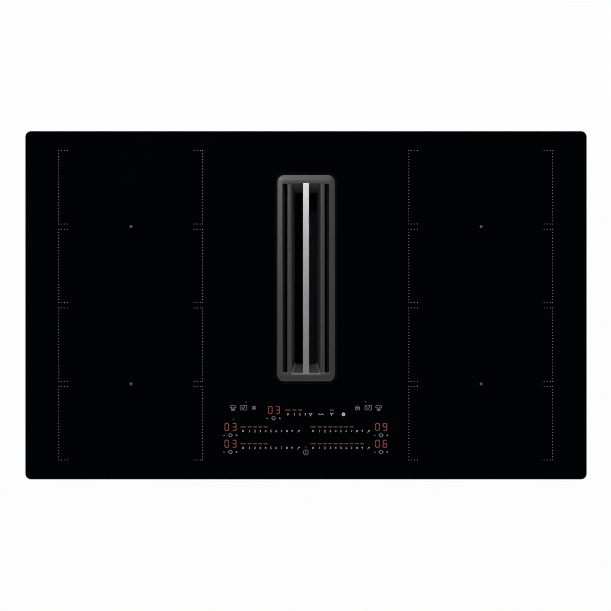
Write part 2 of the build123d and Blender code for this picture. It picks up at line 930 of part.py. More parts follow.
def hanger_places():
    """Where the plenum hangs from the tray."""
    xs = (cavity_width / 2 + hanger_inset, plenum_right - hanger_inset)
    half = plenum_length / 2 - hanger_inset
    return [(x, plenum_y + side * half) for x in xs for side in (-1, 1)]


def hanger(x, y):
    """A moulded hook: a pad under the tray, a neck through its slot and a head on its floor."""
    pad = slab(hanger_size, hanger_size, 0, plenum_high, tray_low, x, y)
    neck = slab(hanger_neck, hanger_size, 0, tray_low, tray_floor, x, y)
    return pad + neck + slab(
        hanger_size, hanger_size, 0, tray_floor, tray_floor + hanger_head_height, x, y
    )


def fan_inlet_ring():
    """The flared ring that rests on the lid and leads the air down into the wheel."""
    low = wheel_high - eye_overlap
    top = lid_high + ring_rim_height
    flare = eye_radius + eye_lip
    rim = flare + ring_rim_width
    wall = eye_radius + housing_wall
    profile = make_face(Polyline(
        (eye_radius, low), (eye_radius, top - eye_lip), (flare, top), (rim, top),
        (rim, lid_high), (wall, lid_high), (wall, low), close=True,
    ))
    return Pos(fan_x, fan_y) * revolve(Plane.XZ * profile, Axis.Z)


def fan_upper_housing():
    """The plenum over the fan, with the lid of the scroll as its floor."""
    housing = Pos(0, 0, lid_low) * extrude(plenum_plan(), plenum_high - lid_low)
    housing += Pos(0, 0, lid_low) * extrude(scroll_plan(), housing_wall)
    housing += ears(lid_low, lid_high)
    air = extrude(plenum_plan(housing_wall), plenum_high - housing_wall - lid_high)
    housing -= Pos(0, 0, lid_high) * air
    half = plenum_length / 2
    left = cavity_width / 2
    for front in (plenum_y - half - plenum_flange, plenum_y + half):
        housing += block(left, left + housing_wall, front, front + plenum_flange, lid_low, plenum_high)
    housing -= disc(eye_radius + housing_wall, lid_low, lid_high, fan_x, fan_y)
    housing += [hanger(x, y) for x, y in hanger_places()]
    return one_solid(housing)


def fan_scroll_housing():
    """The spiral half of the fan housing, open to the motor below and to the outlet."""
    housing = Pos(0, 0, scroll_low) * extrude(scroll_plan(), lid_low - scroll_low)
    housing += ears(lid_low - housing_wall, lid_low)
    housing -= Pos(0, 0, scroll_floor) * extrude(scroll_air(), lid_low - scroll_floor)
    housing -= disc(stator_radius + mount_hole_gap, scroll_low, scroll_floor, fan_x, fan_y)
    return one_solid(housing)


def outlet_spigot():
    """The rectangular spigot that a flat duct pushes on to."""
    start = Plane((outlet_x, outlet_line, outlet_z), x_dir=(1, 0, 0), z_dir=(0, 1, 0))
    flange_width = outlet_width + 2 * (housing_wall + spigot_flange)
    spigot = extrude(start * Rectangle(flange_width, lid_high - scroll_low), spigot_flange_thickness)
    outside = RectangleRounded(spigot_width, spigot_height, spigot_radius)
    spigot += extrude(start * outside, spigot_length)
    bore = RectangleRounded(
        spigot_width - 2 * spigot_wall, spigot_height - 2 * spigot_wall, spigot_radius - spigot_wall
    )
    return one_solid(spigot - extrude(start * bore, spigot_length))


# ---------------------------------------------------------------- fan wheel and motor
def fan_wheel():
    """Forward-curved blades between a back plate and a ring, round a hub that hides the motor."""
    hub = disc(hub_radius, wheel_low, hub_high)
    hub = chamfer(hub.edges().group_by(Axis.Z)[-1], hub_edge)
    wheel = hub + disc(wheel_radius, wheel_low, wheel_low + wheel_plate)
    wheel -= disc(hub_radius - hub_wall, wheel_low, hub_high - hub_wall)
    wheel += disc(hub_boss_radius, hub_high - hub_boss_height, hub_high)
    wheel -= disc(shaft_radius, hub_high - hub_boss_height, hub_high)
    wheel += ring(
        wheel_radius, wheel_radius - wheel_ring_width, wheel_high - wheel_ring_height, wheel_high
    )
    outer = wheel_radius - blade_inset
    tip = (outer * cos(radians(blade_sweep)), outer * sin(radians(blade_sweep)))
    curve = SagittaArc((outer - blade_chord, 0), tip, blade_bow)
    blade = trace(Polyline(*[curve @ share for share in (0, 0.5, 1)]), blade_thickness)
    blade_low = wheel_low + wheel_plate
    blade = Pos(0, 0, blade_low) * extrude(blade, wheel_high - wheel_ring_height - blade_low)
    wheel += turned(blade, blade_count)
    return Pos(fan_x, fan_y) * one_solid(wheel)


def motor_shaft():
    return disc(shaft_radius, mount_high + shaft_end_gap, hub_high, fan_x, fan_y)


def motor_bearings():
    """Two sintered bushes, at the foot and at the mouth of the motor's tube."""
    lows = (mount_high, motor_tube_high - bearing_width)
    inner = shaft_radius + running_clearance
    return group([ring(bearing_radius, inner, low, low + bearing_width, fan_x, fan_y) for low in lows])


def motor_stator():
    """Laminated core with its slots, and a winding in each slot."""
    core = ring(stator_radius, motor_tube_radius, stator_low, motor_tube_high)
    inner = stator_radius - stator_slot_depth
    half = stator_slot_width / 2
    core -= turned(block(inner, stator_radius, -half, half, stator_low, motor_tube_high), stator_slots)
    half -= winding_gap
    winding = block(inner, inner + winding_depth, -half, half, stator_low, motor_tube_high)
    parts = [core] + turned(winding, stator_slots)
    return group([Pos(fan_x, fan_y) * part for part in parts])


def motor_mount():
    """A three-cornered plate under the scroll, with the tube for the bearings and the stator."""
    plate = RegularPolygon(mount_radius, 3, rotation=90)
    plate = chamfer(plate.vertices(), mount_corner_cut)
    mount = Pos(fan_x, fan_y, mount_low) * extrude(plate, mount_plate)
    mount += disc(motor_tube_radius, mount_high, motor_tube_high, fan_x, fan_y)
    return one_solid(mount - disc(bearing_radius, mount_high, motor_tube_high, fan_x, fan_y))


def motor_dampers():
    """Rubber buffers between the corners of the mount and the floor of the scroll."""
    dampers = []
    for index in range(damper_count):
        angle = radians(360 * index / damper_count + 90)
        x = fan_x + damper_circle * cos(angle)
        y = fan_y + damper_circle * sin(angle)
        dampers.append(slab(damper_size, damper_size, 0, mount_high, scroll_low, x, y))
    return group(dampers)


# ---------------------------------------------------------------- induction coils
def coil_places():
    return [(zone_x, y) for y in spread(coil_count, coil_pitch)]


def induction_coil(x, y):
    """One flat oval winding round an open eye."""
    outline = Rectangle(coil_zone_width, coil_length)
    for cut in coil_corner_cuts:
        outline = chamfer(outline.vertices(), cut)
    coil = Pos(0, 0, coil_low) * extrude(outline, coil_high - coil_low)
    coil -= cut_slab(
        coil_zone_width - 2 * coil_band, coil_length - 2 * coil_band, coil_eye_cut,
        coil_low, coil_high,
    )
    return Pos(x, y) * one_solid(coil)


def ferrite_bars():
    """Bars across the winding, on the coil plate."""
    bars = []
    for x, y in coil_places():
        for step in spread(ferrite_columns, ferrite_pitch):
            for end in (-1, 1):
                middle = y + end * (coil_length - coil_band) / 2
                bar = slab(ferrite_width, ferrite_length, 0, ferrite_low, coil_low, x + step, middle)
                bars += [bar, mirrored(bar)]
    return group(bars)


def coil_plates():
    """One aluminium plate a side under the coils."""
    width = coil_zone_width + 2 * coil_plate_border
    plate = slab(width, coil_plate_length, 0, coil_plate_low, ferrite_low, zone_x)
    return group([plate, mirrored(plate)])


def coil_sensors():
    """A temperature sensor in the eye of each coil; its tip meets the mica sheet."""
    sensors = []
    for x, y in coil_places():
        sensor = slab(sensor_size, sensor_size, 0, ferrite_low, ferrite_low + sensor_height, x, y)
        sensor += slab(sensor_tip, sensor_tip, 0, ferrite_low + sensor_height, mica_low, x, y)
        sensors += [sensor, mirrored(sensor)]
    return group(sensors)


def mica_sheets():
    length = tray_inner_depth - 2 * (frame_lip_in + fit_clearance)
    sheet_right = slab(coil_zone_width, length, 0, mica_low, glass_low, zone_x)
    return group([sheet_right, mirrored(sheet_right)])


def plate_springs():
    """Bent leaves that press the coil plates up towards the glass."""
    low = tray_floor + leaf_thickness / 2
    high = coil_plate_low - leaf_thickness / 2
    half = leaf_length / 2
    bend = half - leaf_foot
    path = Polyline((-half, low), (-bend, low), (bend, high), (half, high))
    leaf = extrude(Plane.YZ * trace(path, leaf_thickness), leaf_width / 2, both=True)
    reach = (coil_zone_width + 2 * coil_plate_border - leaf_width) / 2 - leaf_edge
    half_length = coil_plate_length / 2 - half - leaf_margin
    leaves = []
    for x in (zone_x - reach, zone_x + reach):
        for y in (-half_length, half_length):
            leaves += [Pos(x, y) * leaf, mirrored(Pos(x, y) * leaf)]
    return group(leaves)


# ---------------------------------------------------------------- power electronics
def power_board():
    """A board on feet with its filter parts; its heat sink is a piece of its own."""
    pieces = [slab(board_width, board_length, 0, board_low, board_high, zone_x, board_y)]
    foot_x = board_width / 2 - board_foot_inset
    foot_y = board_length / 2 - board_foot_inset
    for side in (-1, 1):
        for end in (-1, 1):
            pieces.append(slab(
                board_foot, board_foot, 0, tray_floor, board_low,
                zone_x + side * foot_x, board_y + end * foot_y,
            ))
    column = (board_width + sink_width) / 4
    back, front = board_y + board_length / 4, board_y - board_length / 4
    choke_high = board_high + choke_height
    choke = slab(choke_size, choke_size, 0, board_high, choke_high, zone_x - column, back)
    choke += slab(
        choke_winding, choke_size, 0, board_high, board_high + choke_winding_height,
        zone_x - column, back,
    )
    pieces.append(choke)
    for step in spread(capacitor_count, part_pitch):
        pieces.append(disc(
            capacitor_radius, board_high, board_high + capacitor_height, zone_x - column, front + step
        ))
    for step in spread(relay_count, part_pitch):
        pieces.append(slab(
            relay_size, relay_size, 0, board_high, board_high + relay_height,
            zone_x + column, board_y + step,
        ))
    return group(pieces)


def heatsink():
    """An extruded heat sink; its fins lie along the air stream."""
    profile = Pos(0, sink_base / 2) * Rectangle(sink_width, sink_base)
    for x in spread(sink_fin_count, (sink_width - sink_fin_thickness) / (sink_fin_count - 1)):
        fin = Rectangle(sink_fin_thickness, sink_fin_height)
        profile += Pos(x, sink_base + sink_fin_height / 2) * fin
    sink = extrude(Plane.XZ * profile, sink_length / 2, both=True)
    return one_solid(Pos(zone_x, board_y, board_high) * sink)


def cooling_fan_housing():
    """A square fan frame; four struts carry the plate of its flat motor."""
    housing = slab(cooler_size, cooler_size, 0, 0, cooler_height)
    housing -= extrude(RegularPolygon(cooler_bore_radius, cooler_bore_sides), cooler_height)
    reach = cooler_bore_radius + ear_root
    half = cooler_strut_width / 2
    housing += block(-reach, reach, -half, half, 0, cooler_strut_height)
    housing += block(-half, half, -reach, reach, 0, cooler_strut_height)
    housing += slab(cooler_hub_size, cooler_hub_size, 0, 0, cooler_strut_height)
    return Pos(zone_x, cooler_y, tray_floor) * one_solid(housing)


def cooling_rotor():
    """A hub with leaning blades that runs just above the motor's plate."""
    low = cooler_strut_height + rest_gap
    high = cooler_height - cooler_top_gap
    middle = (low + high) / 2
    tip = cooler_bore_radius - cooler_tip_gap
    blade = Box(tip, cooler_blade_width, cooler_blade_thickness)
    blade = Pos(tip / 2, 0, middle) * Rot(cooler_blade_lean, 0, 0) * blade
    hub = Pos(0, 0, low) * extrude(RegularPolygon(cooler_hub_radius, 2 * cooler_blades), high - low)
    rotor = hub + turned(blade, cooler_blades)
    return Pos(zone_x, cooler_y, tray_floor) * one_solid(rotor)


# ---------------------------------------------------------------- touch controls
def control_carrier():
    """A shallow tray, bonded under the glass, that holds the control board."""
    carrier = slab(control_width, control_length, 0, control_low, glass_low, y=control_y)
    return one_solid(carrier - slab(
        control_width - 2 * control_wall, control_length - 2 * control_wall, 0,
        control_low + control_wall, glass_low, y=control_y,
    ))


def control_board():
    """The board on its posts."""
    width = control_width - 2 * (control_wall + control_board_gap)
    length = control_length - 2 * (control_wall + control_board_gap)
    floor = control_low + control_wall
    board = slab(width, length, 0, control_board_low, control_board_high, y=control_y)
    for x in spread(4, width / 4):
        for y in spread(2, length / 2):
            board += slab(
                control_post_size, control_post_size, 0, floor, control_board_low, x, control_y + y
            )
    return one_solid(board)


def control_displays():
    """Two-digit displays: two rows a side for the zones and one for the extractor."""
    places = [(display_hood_x, control_y + display_pitch)]
    for side in (-1, 1):
        for row in (0, 1):
            places.append((side * display_across, control_y - row * display_pitch))
    high = glass_low - display_gap
    return group([
        slab(display_width, display_length, 0, control_board_high, high, x, y) for x, y in places
    ])


# ---------------------------------------------------------------- mains terminals
def inlet_plane():
    """The outside of the cover's back wall, where the mains lead goes in."""
    middle = (terminal_low + tray_low) / 2
    return Plane((terminal_x, tray_depth / 2, middle), x_dir=(1, 0, 0), z_dir=(0, 1, 0))


def terminal_cover():
    cover = slab(terminal_width, terminal_length, 0, terminal_low, tray_low, terminal_x, terminal_y)
    cover -= slab(
        terminal_width - 2 * terminal_wall, terminal_length - 2 * terminal_wall, 0,
        terminal_low + terminal_wall, tray_low, terminal_x, terminal_y,
    )
    hole = inlet_plane() * Rectangle(inlet_hole_size, inlet_hole_size)
    return one_solid(cover - extrude(hole, -terminal_wall))


def cable_grommet():
    """A square bush for the mains lead: a flange outside and a neck through the wall."""
    outside = inlet_plane()
    neck = inlet_hole_size - 2 * grommet_neck_gap
    rim = inlet_hole_size + 2 * grommet_flange
    grommet = extrude(outside * Rectangle(neck, neck), grommet_flange - grommet_length)
    grommet += extrude(outside * Rectangle(rim, rim), grommet_flange)
    bore = extrude(outside.offset(grommet_flange) * Circle(grommet_bore_radius), -grommet_length)
    return one_solid(grommet - bore)


def terminal_block():
    """The terminal strip under the tray, with a slot for each pole."""
    middle = tray_depth / 2 - terminal_length + terminal_wall + terminal_block_length / 2
    low = tray_low - terminal_block_height
    strip = slab(terminal_block_width, terminal_block_length, 0, low, tray_low, terminal_x, middle)
    for step in spread(terminal_poles, terminal_block_width / terminal_poles):
        strip -= slab(
            terminal_slot, terminal_block_length, 0, low, low + terminal_slot_depth,
            terminal_x + step, middle,
        )
    return one_solid(strip)


# ---------------------------------------------------------------- worktop clamps
def clamp_ears():
    """Undersides of the lower and the upper ear."""
    return tray_low + clamp_foot_gap, -clamp_top_gap - clamp_plate


def clamp_bracket():
    """A folded bracket on the tray's right-hand side; the clamp's screw stands in its two ears."""
    lower, upper = clamp_ears()
    side = tray_width / 2
    front = clamp_y - clamp_ear_width / 2
    back = clamp_y + clamp_ear_width / 2
    hole = 2 * (clamp_screw_radius + clamp_hole_gap)
    bracket = block(side, side + clamp_plate, front, back, lower, upper + clamp_plate)
    for low in (lower, upper):
        bracket += block(side, side + clamp_ear_reach, front, back, low, low + clamp_plate)
        bracket -= slab(hole, hole, 0, low, low + clamp_plate, clamp_x, clamp_y)
    return bracket


def clamp_screw():
    """The clamp's screw, turned from below by its hexagon head."""
    lower, upper = clamp_ears()
    head_low = lower - clamp_screw_head_height
    head = extrude(RegularPolygon(clamp_screw_head, clamp_screw_sides), clamp_screw_head_height)
    shank = disc(clamp_screw_radius, lower, upper + clamp_plate, clamp_x, clamp_y)
    return shank + Pos(clamp_x, clamp_y, head_low) * head


def clamp_arm():
    """The arm of the right-hand rear clamp at rest, folded along the tray's side."""
    low = -clamp_arm_level - clamp_arm_thickness / 2
    high = low + clamp_arm_thickness
    half = clamp_arm_width / 2
    front = half - clamp_arm_length
    arm = cut_slab(
        clamp_arm_width, clamp_arm_length, clamp_arm_cut, low, high, y=half - clamp_arm_length / 2
    )
    arm += block(
        clamp_arm_cut - half, half - clamp_arm_cut, front, front + clamp_tip_length,
        high, high + clamp_tip_height,
    )
    arm -= disc(clamp_screw_radius + clamp_hole_gap, low, high)
    return Pos(clamp_x, clamp_y) * one_solid(arm)


def four_corners(shape):
    """A rear right-hand piece at all four clamps, with the corner's name."""
    front = mirror(shape, about=Plane.XZ)
    return {
        "right_rear": shape, "right_front": front,
        "left_rear": mirrored(shape), "left_front": mirrored(front),
    }


# ---------------------------------------------------------------- the files
def main():
    os.makedirs("parts", exist_ok=True)
    singles = (
        glass_top, rim_seal, support_frame, base_tray,
        inlet_collar, filter_cavity, spill_tray, spill_tray_seal,
        grille_frame, grille_bar, grille_pads,
        filter_cassette, grease_filter_frame, grease_filter_mesh,
        fan_upper_housing, fan_inlet_ring, fan_scroll_housing, housing_clips, outlet_spigot,
        fan_wheel, motor_shaft, motor_bearings, motor_stator, motor_mount, motor_dampers,
        coil_plates, ferrite_bars, coil_sensors, mica_sheets, plate_springs,
        control_carrier, control_board, control_displays,
        terminal_cover, cable_grommet, terminal_block,
    )
    for make in singles:
        write(make.__name__, make())

    pairs = (charcoal_filter, power_board, heatsink, cooling_fan_housing, cooling_rotor)
    for make in pairs:
        right = make()
        write(make.__name__ + "_right", right)
        write(make.__name__ + "_left", mirrored(right))
    for number, place in enumerate(coil_places(), 1):
        coil = induction_coil(*place)
        write(f"induction_coil_{number}_right", coil)
        write(f"induction_coil_{number}_left", mirrored(coil))

    write("clamp_brackets", group(four_corners(clamp_bracket()).values()))
    write("clamp_screws", group(four_corners(clamp_screw()).values()))
    for corner, arm in four_corners(clamp_arm()).items():
        write("clamp_arm_" + corner, arm)


main()
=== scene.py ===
import json
import math

import bmesh
import bpy
from mathutils import Matrix, Vector

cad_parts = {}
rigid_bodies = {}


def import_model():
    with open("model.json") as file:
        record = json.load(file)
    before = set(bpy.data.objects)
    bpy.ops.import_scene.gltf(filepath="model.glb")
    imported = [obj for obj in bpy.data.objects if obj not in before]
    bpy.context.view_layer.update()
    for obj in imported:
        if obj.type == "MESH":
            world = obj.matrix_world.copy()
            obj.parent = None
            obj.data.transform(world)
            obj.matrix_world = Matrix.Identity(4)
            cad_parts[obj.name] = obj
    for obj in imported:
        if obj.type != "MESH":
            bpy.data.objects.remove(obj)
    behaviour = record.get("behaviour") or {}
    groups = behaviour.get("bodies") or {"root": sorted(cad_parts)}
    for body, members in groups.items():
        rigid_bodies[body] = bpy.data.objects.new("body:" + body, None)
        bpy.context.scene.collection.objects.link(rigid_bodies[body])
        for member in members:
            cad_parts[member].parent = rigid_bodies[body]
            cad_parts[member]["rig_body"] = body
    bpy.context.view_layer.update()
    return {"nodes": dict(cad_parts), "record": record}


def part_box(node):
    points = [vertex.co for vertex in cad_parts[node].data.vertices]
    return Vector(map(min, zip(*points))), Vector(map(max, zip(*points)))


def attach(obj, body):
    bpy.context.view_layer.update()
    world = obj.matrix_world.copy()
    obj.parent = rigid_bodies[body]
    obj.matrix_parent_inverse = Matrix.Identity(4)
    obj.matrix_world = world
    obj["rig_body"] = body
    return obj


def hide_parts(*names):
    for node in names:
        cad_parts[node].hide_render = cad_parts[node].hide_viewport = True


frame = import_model()

# An induction cooktop with an extractor in the middle, seen from straight above.
# Pieces are built in millimetres and scaled to metres when they are finished.
# Materials, lamps and the camera are in metres.
MM = 0.001
nodes = frame["nodes"]
cooktop = nodes["glass_top"]["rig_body"]
inlet_grille = nodes["grille_frame"]["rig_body"]


# ---------------------------------------------------------------- places taken from the frame
def corners(node):
    """Lowest and highest corner of a node, in millimetres."""
    low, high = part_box(node)
    return Vector(low) / MM, Vector(high) / MM


def middle(node):
    low, high = corners(node)
    return (low + high) / 2


glass_high = corners("glass_top")[1].z
spill_tray_travel = 50.0
floor_gap = 5.0
floor_level = corners("spill_tray")[0].z - spill_tray_travel - floor_gap
inlet_y = middle("grille_frame").y
coil_nodes = sorted(name for name in nodes if name.startswith("induction_coil"))


# ---------------------------------------------------------------- materials
# A noise keeps mostly between these two values
noise_low, noise_high = 0.3, 0.7


def new_material(name):
    material = bpy.data.materials.new(name)
    material.use_nodes = True
    tree = material.node_tree
    return material, tree, tree.nodes["Principled BSDF"]


def place_on(tree, stretch=(1, 1, 1)):
    """The object's own coordinates, stretched for a pattern that runs along it."""
    coordinates = tree.nodes.new("ShaderNodeTexCoord")
    mapping = tree.nodes.new("ShaderNodeMapping")
    mapping.inputs["Scale"].default_value = stretch
    tree.links.new(coordinates.outputs["Object"], mapping.inputs["Vector"])
    return mapping.outputs["Vector"]


def noise(tree, vector, grain, detail=4.0):
    texture = tree.nodes.new("ShaderNodeTexNoise")
    texture.inputs["Scale"].default_value = grain
    texture.inputs["Detail"].default_value = detail
    tree.links.new(vector, texture.inputs["Vector"])
    return texture.outputs["Fac"]


def blend_colours(tree, factor, dark, light, low=noise_low, high=noise_high):
    ramp = tree.nodes.new("ShaderNodeValToRGB")
    ramp.color_ramp.elements[0].position = low
    ramp.color_ramp.elements[1].position = high
    ramp.color_ramp.elements[0].color = (*dark, 1)
    ramp.color_ramp.elements[1].color = (*light, 1)
    tree.links.new(factor, ramp.inputs["Fac"])
    return ramp.outputs["Color"]


def between(tree, factor, low, high):
    """A number that follows the factor between two limits."""
    spread = tree.nodes.new("ShaderNodeMapRange")
    spread.inputs["From Min"].default_value = noise_low
    spread.inputs["From Max"].default_value = noise_high
    spread.inputs["To Min"].default_value = low
    spread.inputs["To Max"].default_value = high
    tree.links.new(factor, spread.inputs["Value"])
    return spread.outputs["Result"]


def calculated(tree, operation, first, second):
    """The result of one sum on two values; the second may be a plain number."""
    step = tree.nodes.new("ShaderNodeMath")
    step.operation = operation
    tree.links.new(first, step.inputs[0])
    if isinstance(second, float):
        step.inputs[1].default_value = second
    else:
        tree.links.new(second, step.inputs[1])
    return step.outputs["Value"]


def relief(tree, shader, height, depth):
    bump = tree.nodes.new("ShaderNodeBump")
    bump.inputs["Strength"].default_value = 1.0
    bump.inputs["Distance"].default_value = depth
    tree.links.new(height, bump.inputs["Height"])
    tree.links.new(bump.outputs["Normal"], shader.inputs["Normal"])


def worked(name, dark, light, rough, metal=0.0, shine=0.5, grain=60.0, fine=900.0, depth=0.00003):
    """A surface whose colour, gloss and relief vary a little, as a moulding's or a casting's do."""
    material, tree, shader = new_material(name)
    shader.inputs["Metallic"].default_value = metal
    shader.inputs["Specular IOR Level"].default_value = shine
    vector = place_on(tree)
    patches = noise(tree, vector, grain)
    tree.links.new(blend_colours(tree, patches, dark, light), shader.inputs["Base Color"])
    tree.links.new(between(tree, patches, *rough), shader.inputs["Roughness"])
    relief(tree, shader, noise(tree, vector, fine, 2.0), depth)
    return material


def galvanised(name, dark, light, rough, spangles=260.0, fine=500.0, depth=0.00002):
    """Zinc-coated sheet with its spangle."""
    material, tree, shader = new_material(name)
    shader.inputs["Metallic"].default_value = 0.85
    vector = place_on(tree)
    spangle = tree.nodes.new("ShaderNodeTexVoronoi")
    spangle.inputs["Scale"].default_value = spangles
    tree.links.new(vector, spangle.inputs["Vector"])
    split = tree.nodes.new("ShaderNodeSeparateColor")
    tree.links.new(spangle.outputs["Color"], split.inputs["Color"])
    flakes = split.outputs["Red"]
    tree.links.new(blend_colours(tree, flakes, dark, light, 0.0, 1.0), shader.inputs["Base Color"])
    tree.links.new(between(tree, flakes, *rough), shader.inputs["Roughness"])
    relief(tree, shader, noise(tree, vector, fine, 2.0), depth)
    return material


def ceramic_glass(name, dark, light, rough, grain=9.0):
    """Black glass that mirrors, with a gloss that varies slowly over the plate."""
    material, tree, shader = new_material(name)
    patches = noise(tree, place_on(tree), grain, 3.0)
    tree.links.new(blend_colours(tree, patches, dark, light), shader.inputs["Base Color"])
    tree.links.new(between(tree, patches, *rough), shader.inputs["Roughness"])
    return material


def brushed(name, dark, light, rough, stretch, grain=260.0, depth=0.00001, metal=1.0):
    """Metal with fine lines along the direction that the stretch leaves long."""
    material, tree, shader = new_material(name)
    shader.inputs["Metallic"].default_value = metal
    vector = place_on(tree, stretch)
    lines = noise(tree, vector, grain, 5.0)
    tree.links.new(blend_colours(tree, lines, dark, light), shader.inputs["Base Color"])
    tree.links.new(between(tree, lines, *rough), shader.inputs["Roughness"])
    relief(tree, shader, lines, depth)
    return material


def meshed(name, wire, gap, pitch, depth=0.0002):
    """Woven wire: light wires across each other over dark gaps."""
    wave_repeat = 0.314
    material, tree, shader = new_material(name)
    shader.inputs["Specular IOR Level"].default_value = 0.2
    shader.inputs["Roughness"].default_value = 0.6
    heights = []
    for direction in ("X", "Y", "Z"):
        wave = tree.nodes.new("ShaderNodeTexWave")
        wave.bands_direction = direction
        wave.inputs["Scale"].default_value = wave_repeat / pitch
        tree.links.new(place_on(tree), wave.inputs["Vector"])
        heights.append(wave.outputs["Fac"])
    weave = heights[0]
    for height in heights[1:]:
        weave = calculated(tree, "MAXIMUM", weave, height)
    tree.links.new(blend_colours(tree, weave, gap, wire, 0.8, 0.95), shader.inputs["Base Color"])
    relief(tree, shader, weave, depth)
    return material


def glowing(name, colour, unlit=0.2, dimmest=0.8, grain=700.0):
    """A lit display segment under the glass, a little uneven."""
    material, tree, shader = new_material(name)
    shader.inputs["Base Color"].default_value = (*(value * unlit for value in colour), 1)
    shader.inputs["Roughness"].default_value = 0.3
    uneven = noise(tree, place_on(tree), grain, 1.0)
    dim = tuple(value * dimmest for value in colour)
    tree.links.new(blend_colours(tree, uneven, dim, colour), shader.inputs["Emission Color"])
    shader.inputs["Emission Strength"].default_value = 1.0
    return material


def printed(name, grey, thin=0.85, thick=1.1):
    """Ceramic ink fired on the glass, darker where it is thin."""
    return worked(name, (grey * thin,) * 3, (grey * thick,) * 3, (0.5, 0.6), grain=500, depth=0.000004)


slot_materials = {
    "glass_ceramic": ceramic_glass(
        "black glass-ceramic", (0.0001, 0.0009, 0.0016), (0.0002, 0.0011, 0.0019), (0.015, 0.03),
    ),
    "seal_foam": worked("seal foam", (0.010,) * 3, (0.022,) * 3, (0.8, 0.95), grain=900, depth=0.0001),
    "galvanised_sheet": galvanised(
        "galvanised sheet", (0.40, 0.41, 0.42), (0.54, 0.55, 0.56), (0.42, 0.50),
    ),
    "frame_steel": worked("black steel", (0.003,) * 3, (0.005,) * 3, (0.6, 0.7), shine=0.1, grain=300),
    "cavity_plastic": worked("cavity moulding", (0.014,) * 3, (0.020,) * 3, (0.45, 0.55), grain=200),
    "housing_plastic": worked("housing moulding", (0.030,) * 3, (0.040,) * 3, (0.45, 0.6), grain=160),
    "tray_plastic": worked("tray moulding", (0.075,) * 3, (0.09,) * 3, (0.4, 0.5), grain=160),
    "grille_coating": worked(
        "satin grille coating", (0.032,) * 3, (0.038,) * 3, (0.36, 0.42), shine=0.85,
        grain=500, fine=1800, depth=0.000012,
    ),
    "bar_aluminium": brushed(
        "brushed aluminium bar", (0.81, 0.82, 0.84), (0.96, 0.97, 0.99), (0.28, 0.38), (14, 1, 14),
    ),
    # The grease filter's steel and mesh are near black: partly their dark coating, partly painted shade
    # for the deep mouth, where little light reaches them.
    "filter_steel": worked(
        "coated filter steel with painted shade", (0.004,) * 3, (0.007,) * 3, (0.5, 0.6), shine=0.15, grain=300,
    ),
    "filter_mesh": meshed("filter mesh", (0.012,) * 3, (0.002,) * 3, 0.0022),
    "charcoal": worked("charcoal", (0.006,) * 3, (0.016,) * 3, (0.85, 1.0), grain=1400, depth=0.0003),
    "wheel_plastic": worked("wheel moulding", (0.045,) * 3, (0.06,) * 3, (0.35, 0.45), grain=120),
    "spring_steel": brushed("bright steel", (0.45,) * 3, (0.6,) * 3, (0.25, 0.35), (1, 1, 8)),
    "bronze": worked(
        "sintered bronze", (0.32, 0.19, 0.08), (0.44, 0.28, 0.13), (0.4, 0.55), metal=1, grain=1500,
    ),
    "motor_laminations": brushed(
        "motor laminations", (0.16,) * 3, (0.34,) * 3, (0.4, 0.6), (0.2, 0.2, 20), metal=0.9,
    ),
    "zinc_casting": worked("zinc casting", (0.32,) * 3, (0.42,) * 3, (0.45, 0.6), metal=0.9, grain=250),
    "buffer_rubber": worked("rubber", (0.010,) * 3, (0.018,) * 3, (0.7, 0.85), grain=400),
    "ferrite": worked("ferrite", (0.03,) * 3, (0.05,) * 3, (0.6, 0.75), grain=700),
    "coil_copper": worked(
        "lacquered copper strands", (0.20, 0.06, 0.02), (0.42, 0.17, 0.07), (0.3, 0.45), metal=0.9,
        grain=900, depth=0.0002,
    ),
    "plate_aluminium": brushed("plain aluminium", (0.55,) * 3, (0.68,) * 3, (0.35, 0.45), (0.3, 8, 8)),
    "mica": worked("mica", (0.36, 0.31, 0.22), (0.5, 0.45, 0.34), (0.3, 0.6), grain=350),
    "circuit_board": worked(
        "circuit board", (0.008, 0.06, 0.03), (0.014, 0.10, 0.05), (0.3, 0.4), grain=180,
    ),
    "display": worked(
        "display window", (0.03, 0.002, 0.002), (0.05, 0.004, 0.004), (0.1, 0.2), grain=200,
    ),
    "terminal_plastic": worked("terminal moulding", (0.035,) * 3, (0.05,) * 3, (0.5, 0.6), grain=200),
    "fan_plastic": worked("small fan moulding", (0.012,) * 3, (0.02,) * 3, (0.4, 0.5), grain=200),
    "sensor_ceramic": worked("ceramic", (0.62, 0.6, 0.56), (0.72, 0.7, 0.66), (0.5, 0.6), grain=500),
}
# A pale non-metal grey for the beads on the mouth's front edges: a painted highlight, standing in for
# light caught on those edges.
painted_highlight_edge = worked("painted highlight edge", (0.20,) * 3, (0.26,) * 3, (0.4, 0.5), grain=500, depth=0.00001)
grey_ink = printed("grey ink", 0.30)
dim_ink = printed("dim grey ink", 0.50)
pale_ink = printed("pale ink", 0.62)
faint_ink = printed("faint ink", 0.11)
lit_figures = glowing("lit figures", (0.29, 0.068, 0.066))
lit_bars = glowing("lit bars", (0.135, 0.046, 0.048))
faint_lamps = glowing("faint lamps", (0.10, 0.05, 0.055))

for part in frame["record"]["subparts"]:
    mesh = nodes[part["node"]].data
    mesh.materials.clear()
    mesh.materials.append(slot_materials[part["material_slot"]])


# ---------------------------------------------------------------- building pieces
def settle_order(bm):
    """Sorts the faces by their corners, because an extrusion lists them differently each run."""
    bm.verts.index_update()
    in_order = sorted(bm.faces, key=lambda face: [vert.index for vert in face.verts])
    for index, face in enumerate(in_order):
        face.index = index
    bm.faces.sort()


def finish_piece(bm, name, material, body):
    """Turns a bmesh in millimetres into a piece that rides on a body."""
    bmesh.ops.recalc_face_normals(bm, faces=bm.faces)
    settle_order(bm)
    bmesh.ops.scale(bm, vec=(MM, MM, MM), verts=bm.verts)
    mesh = bpy.data.meshes.new(name)
    bm.to_mesh(mesh)
    bm.free()
    mesh.materials.append(material)
    piece = bpy.data.objects.new(name, mesh)
    bpy.context.scene.collection.objects.link(piece)
    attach(piece, body)
    return piece


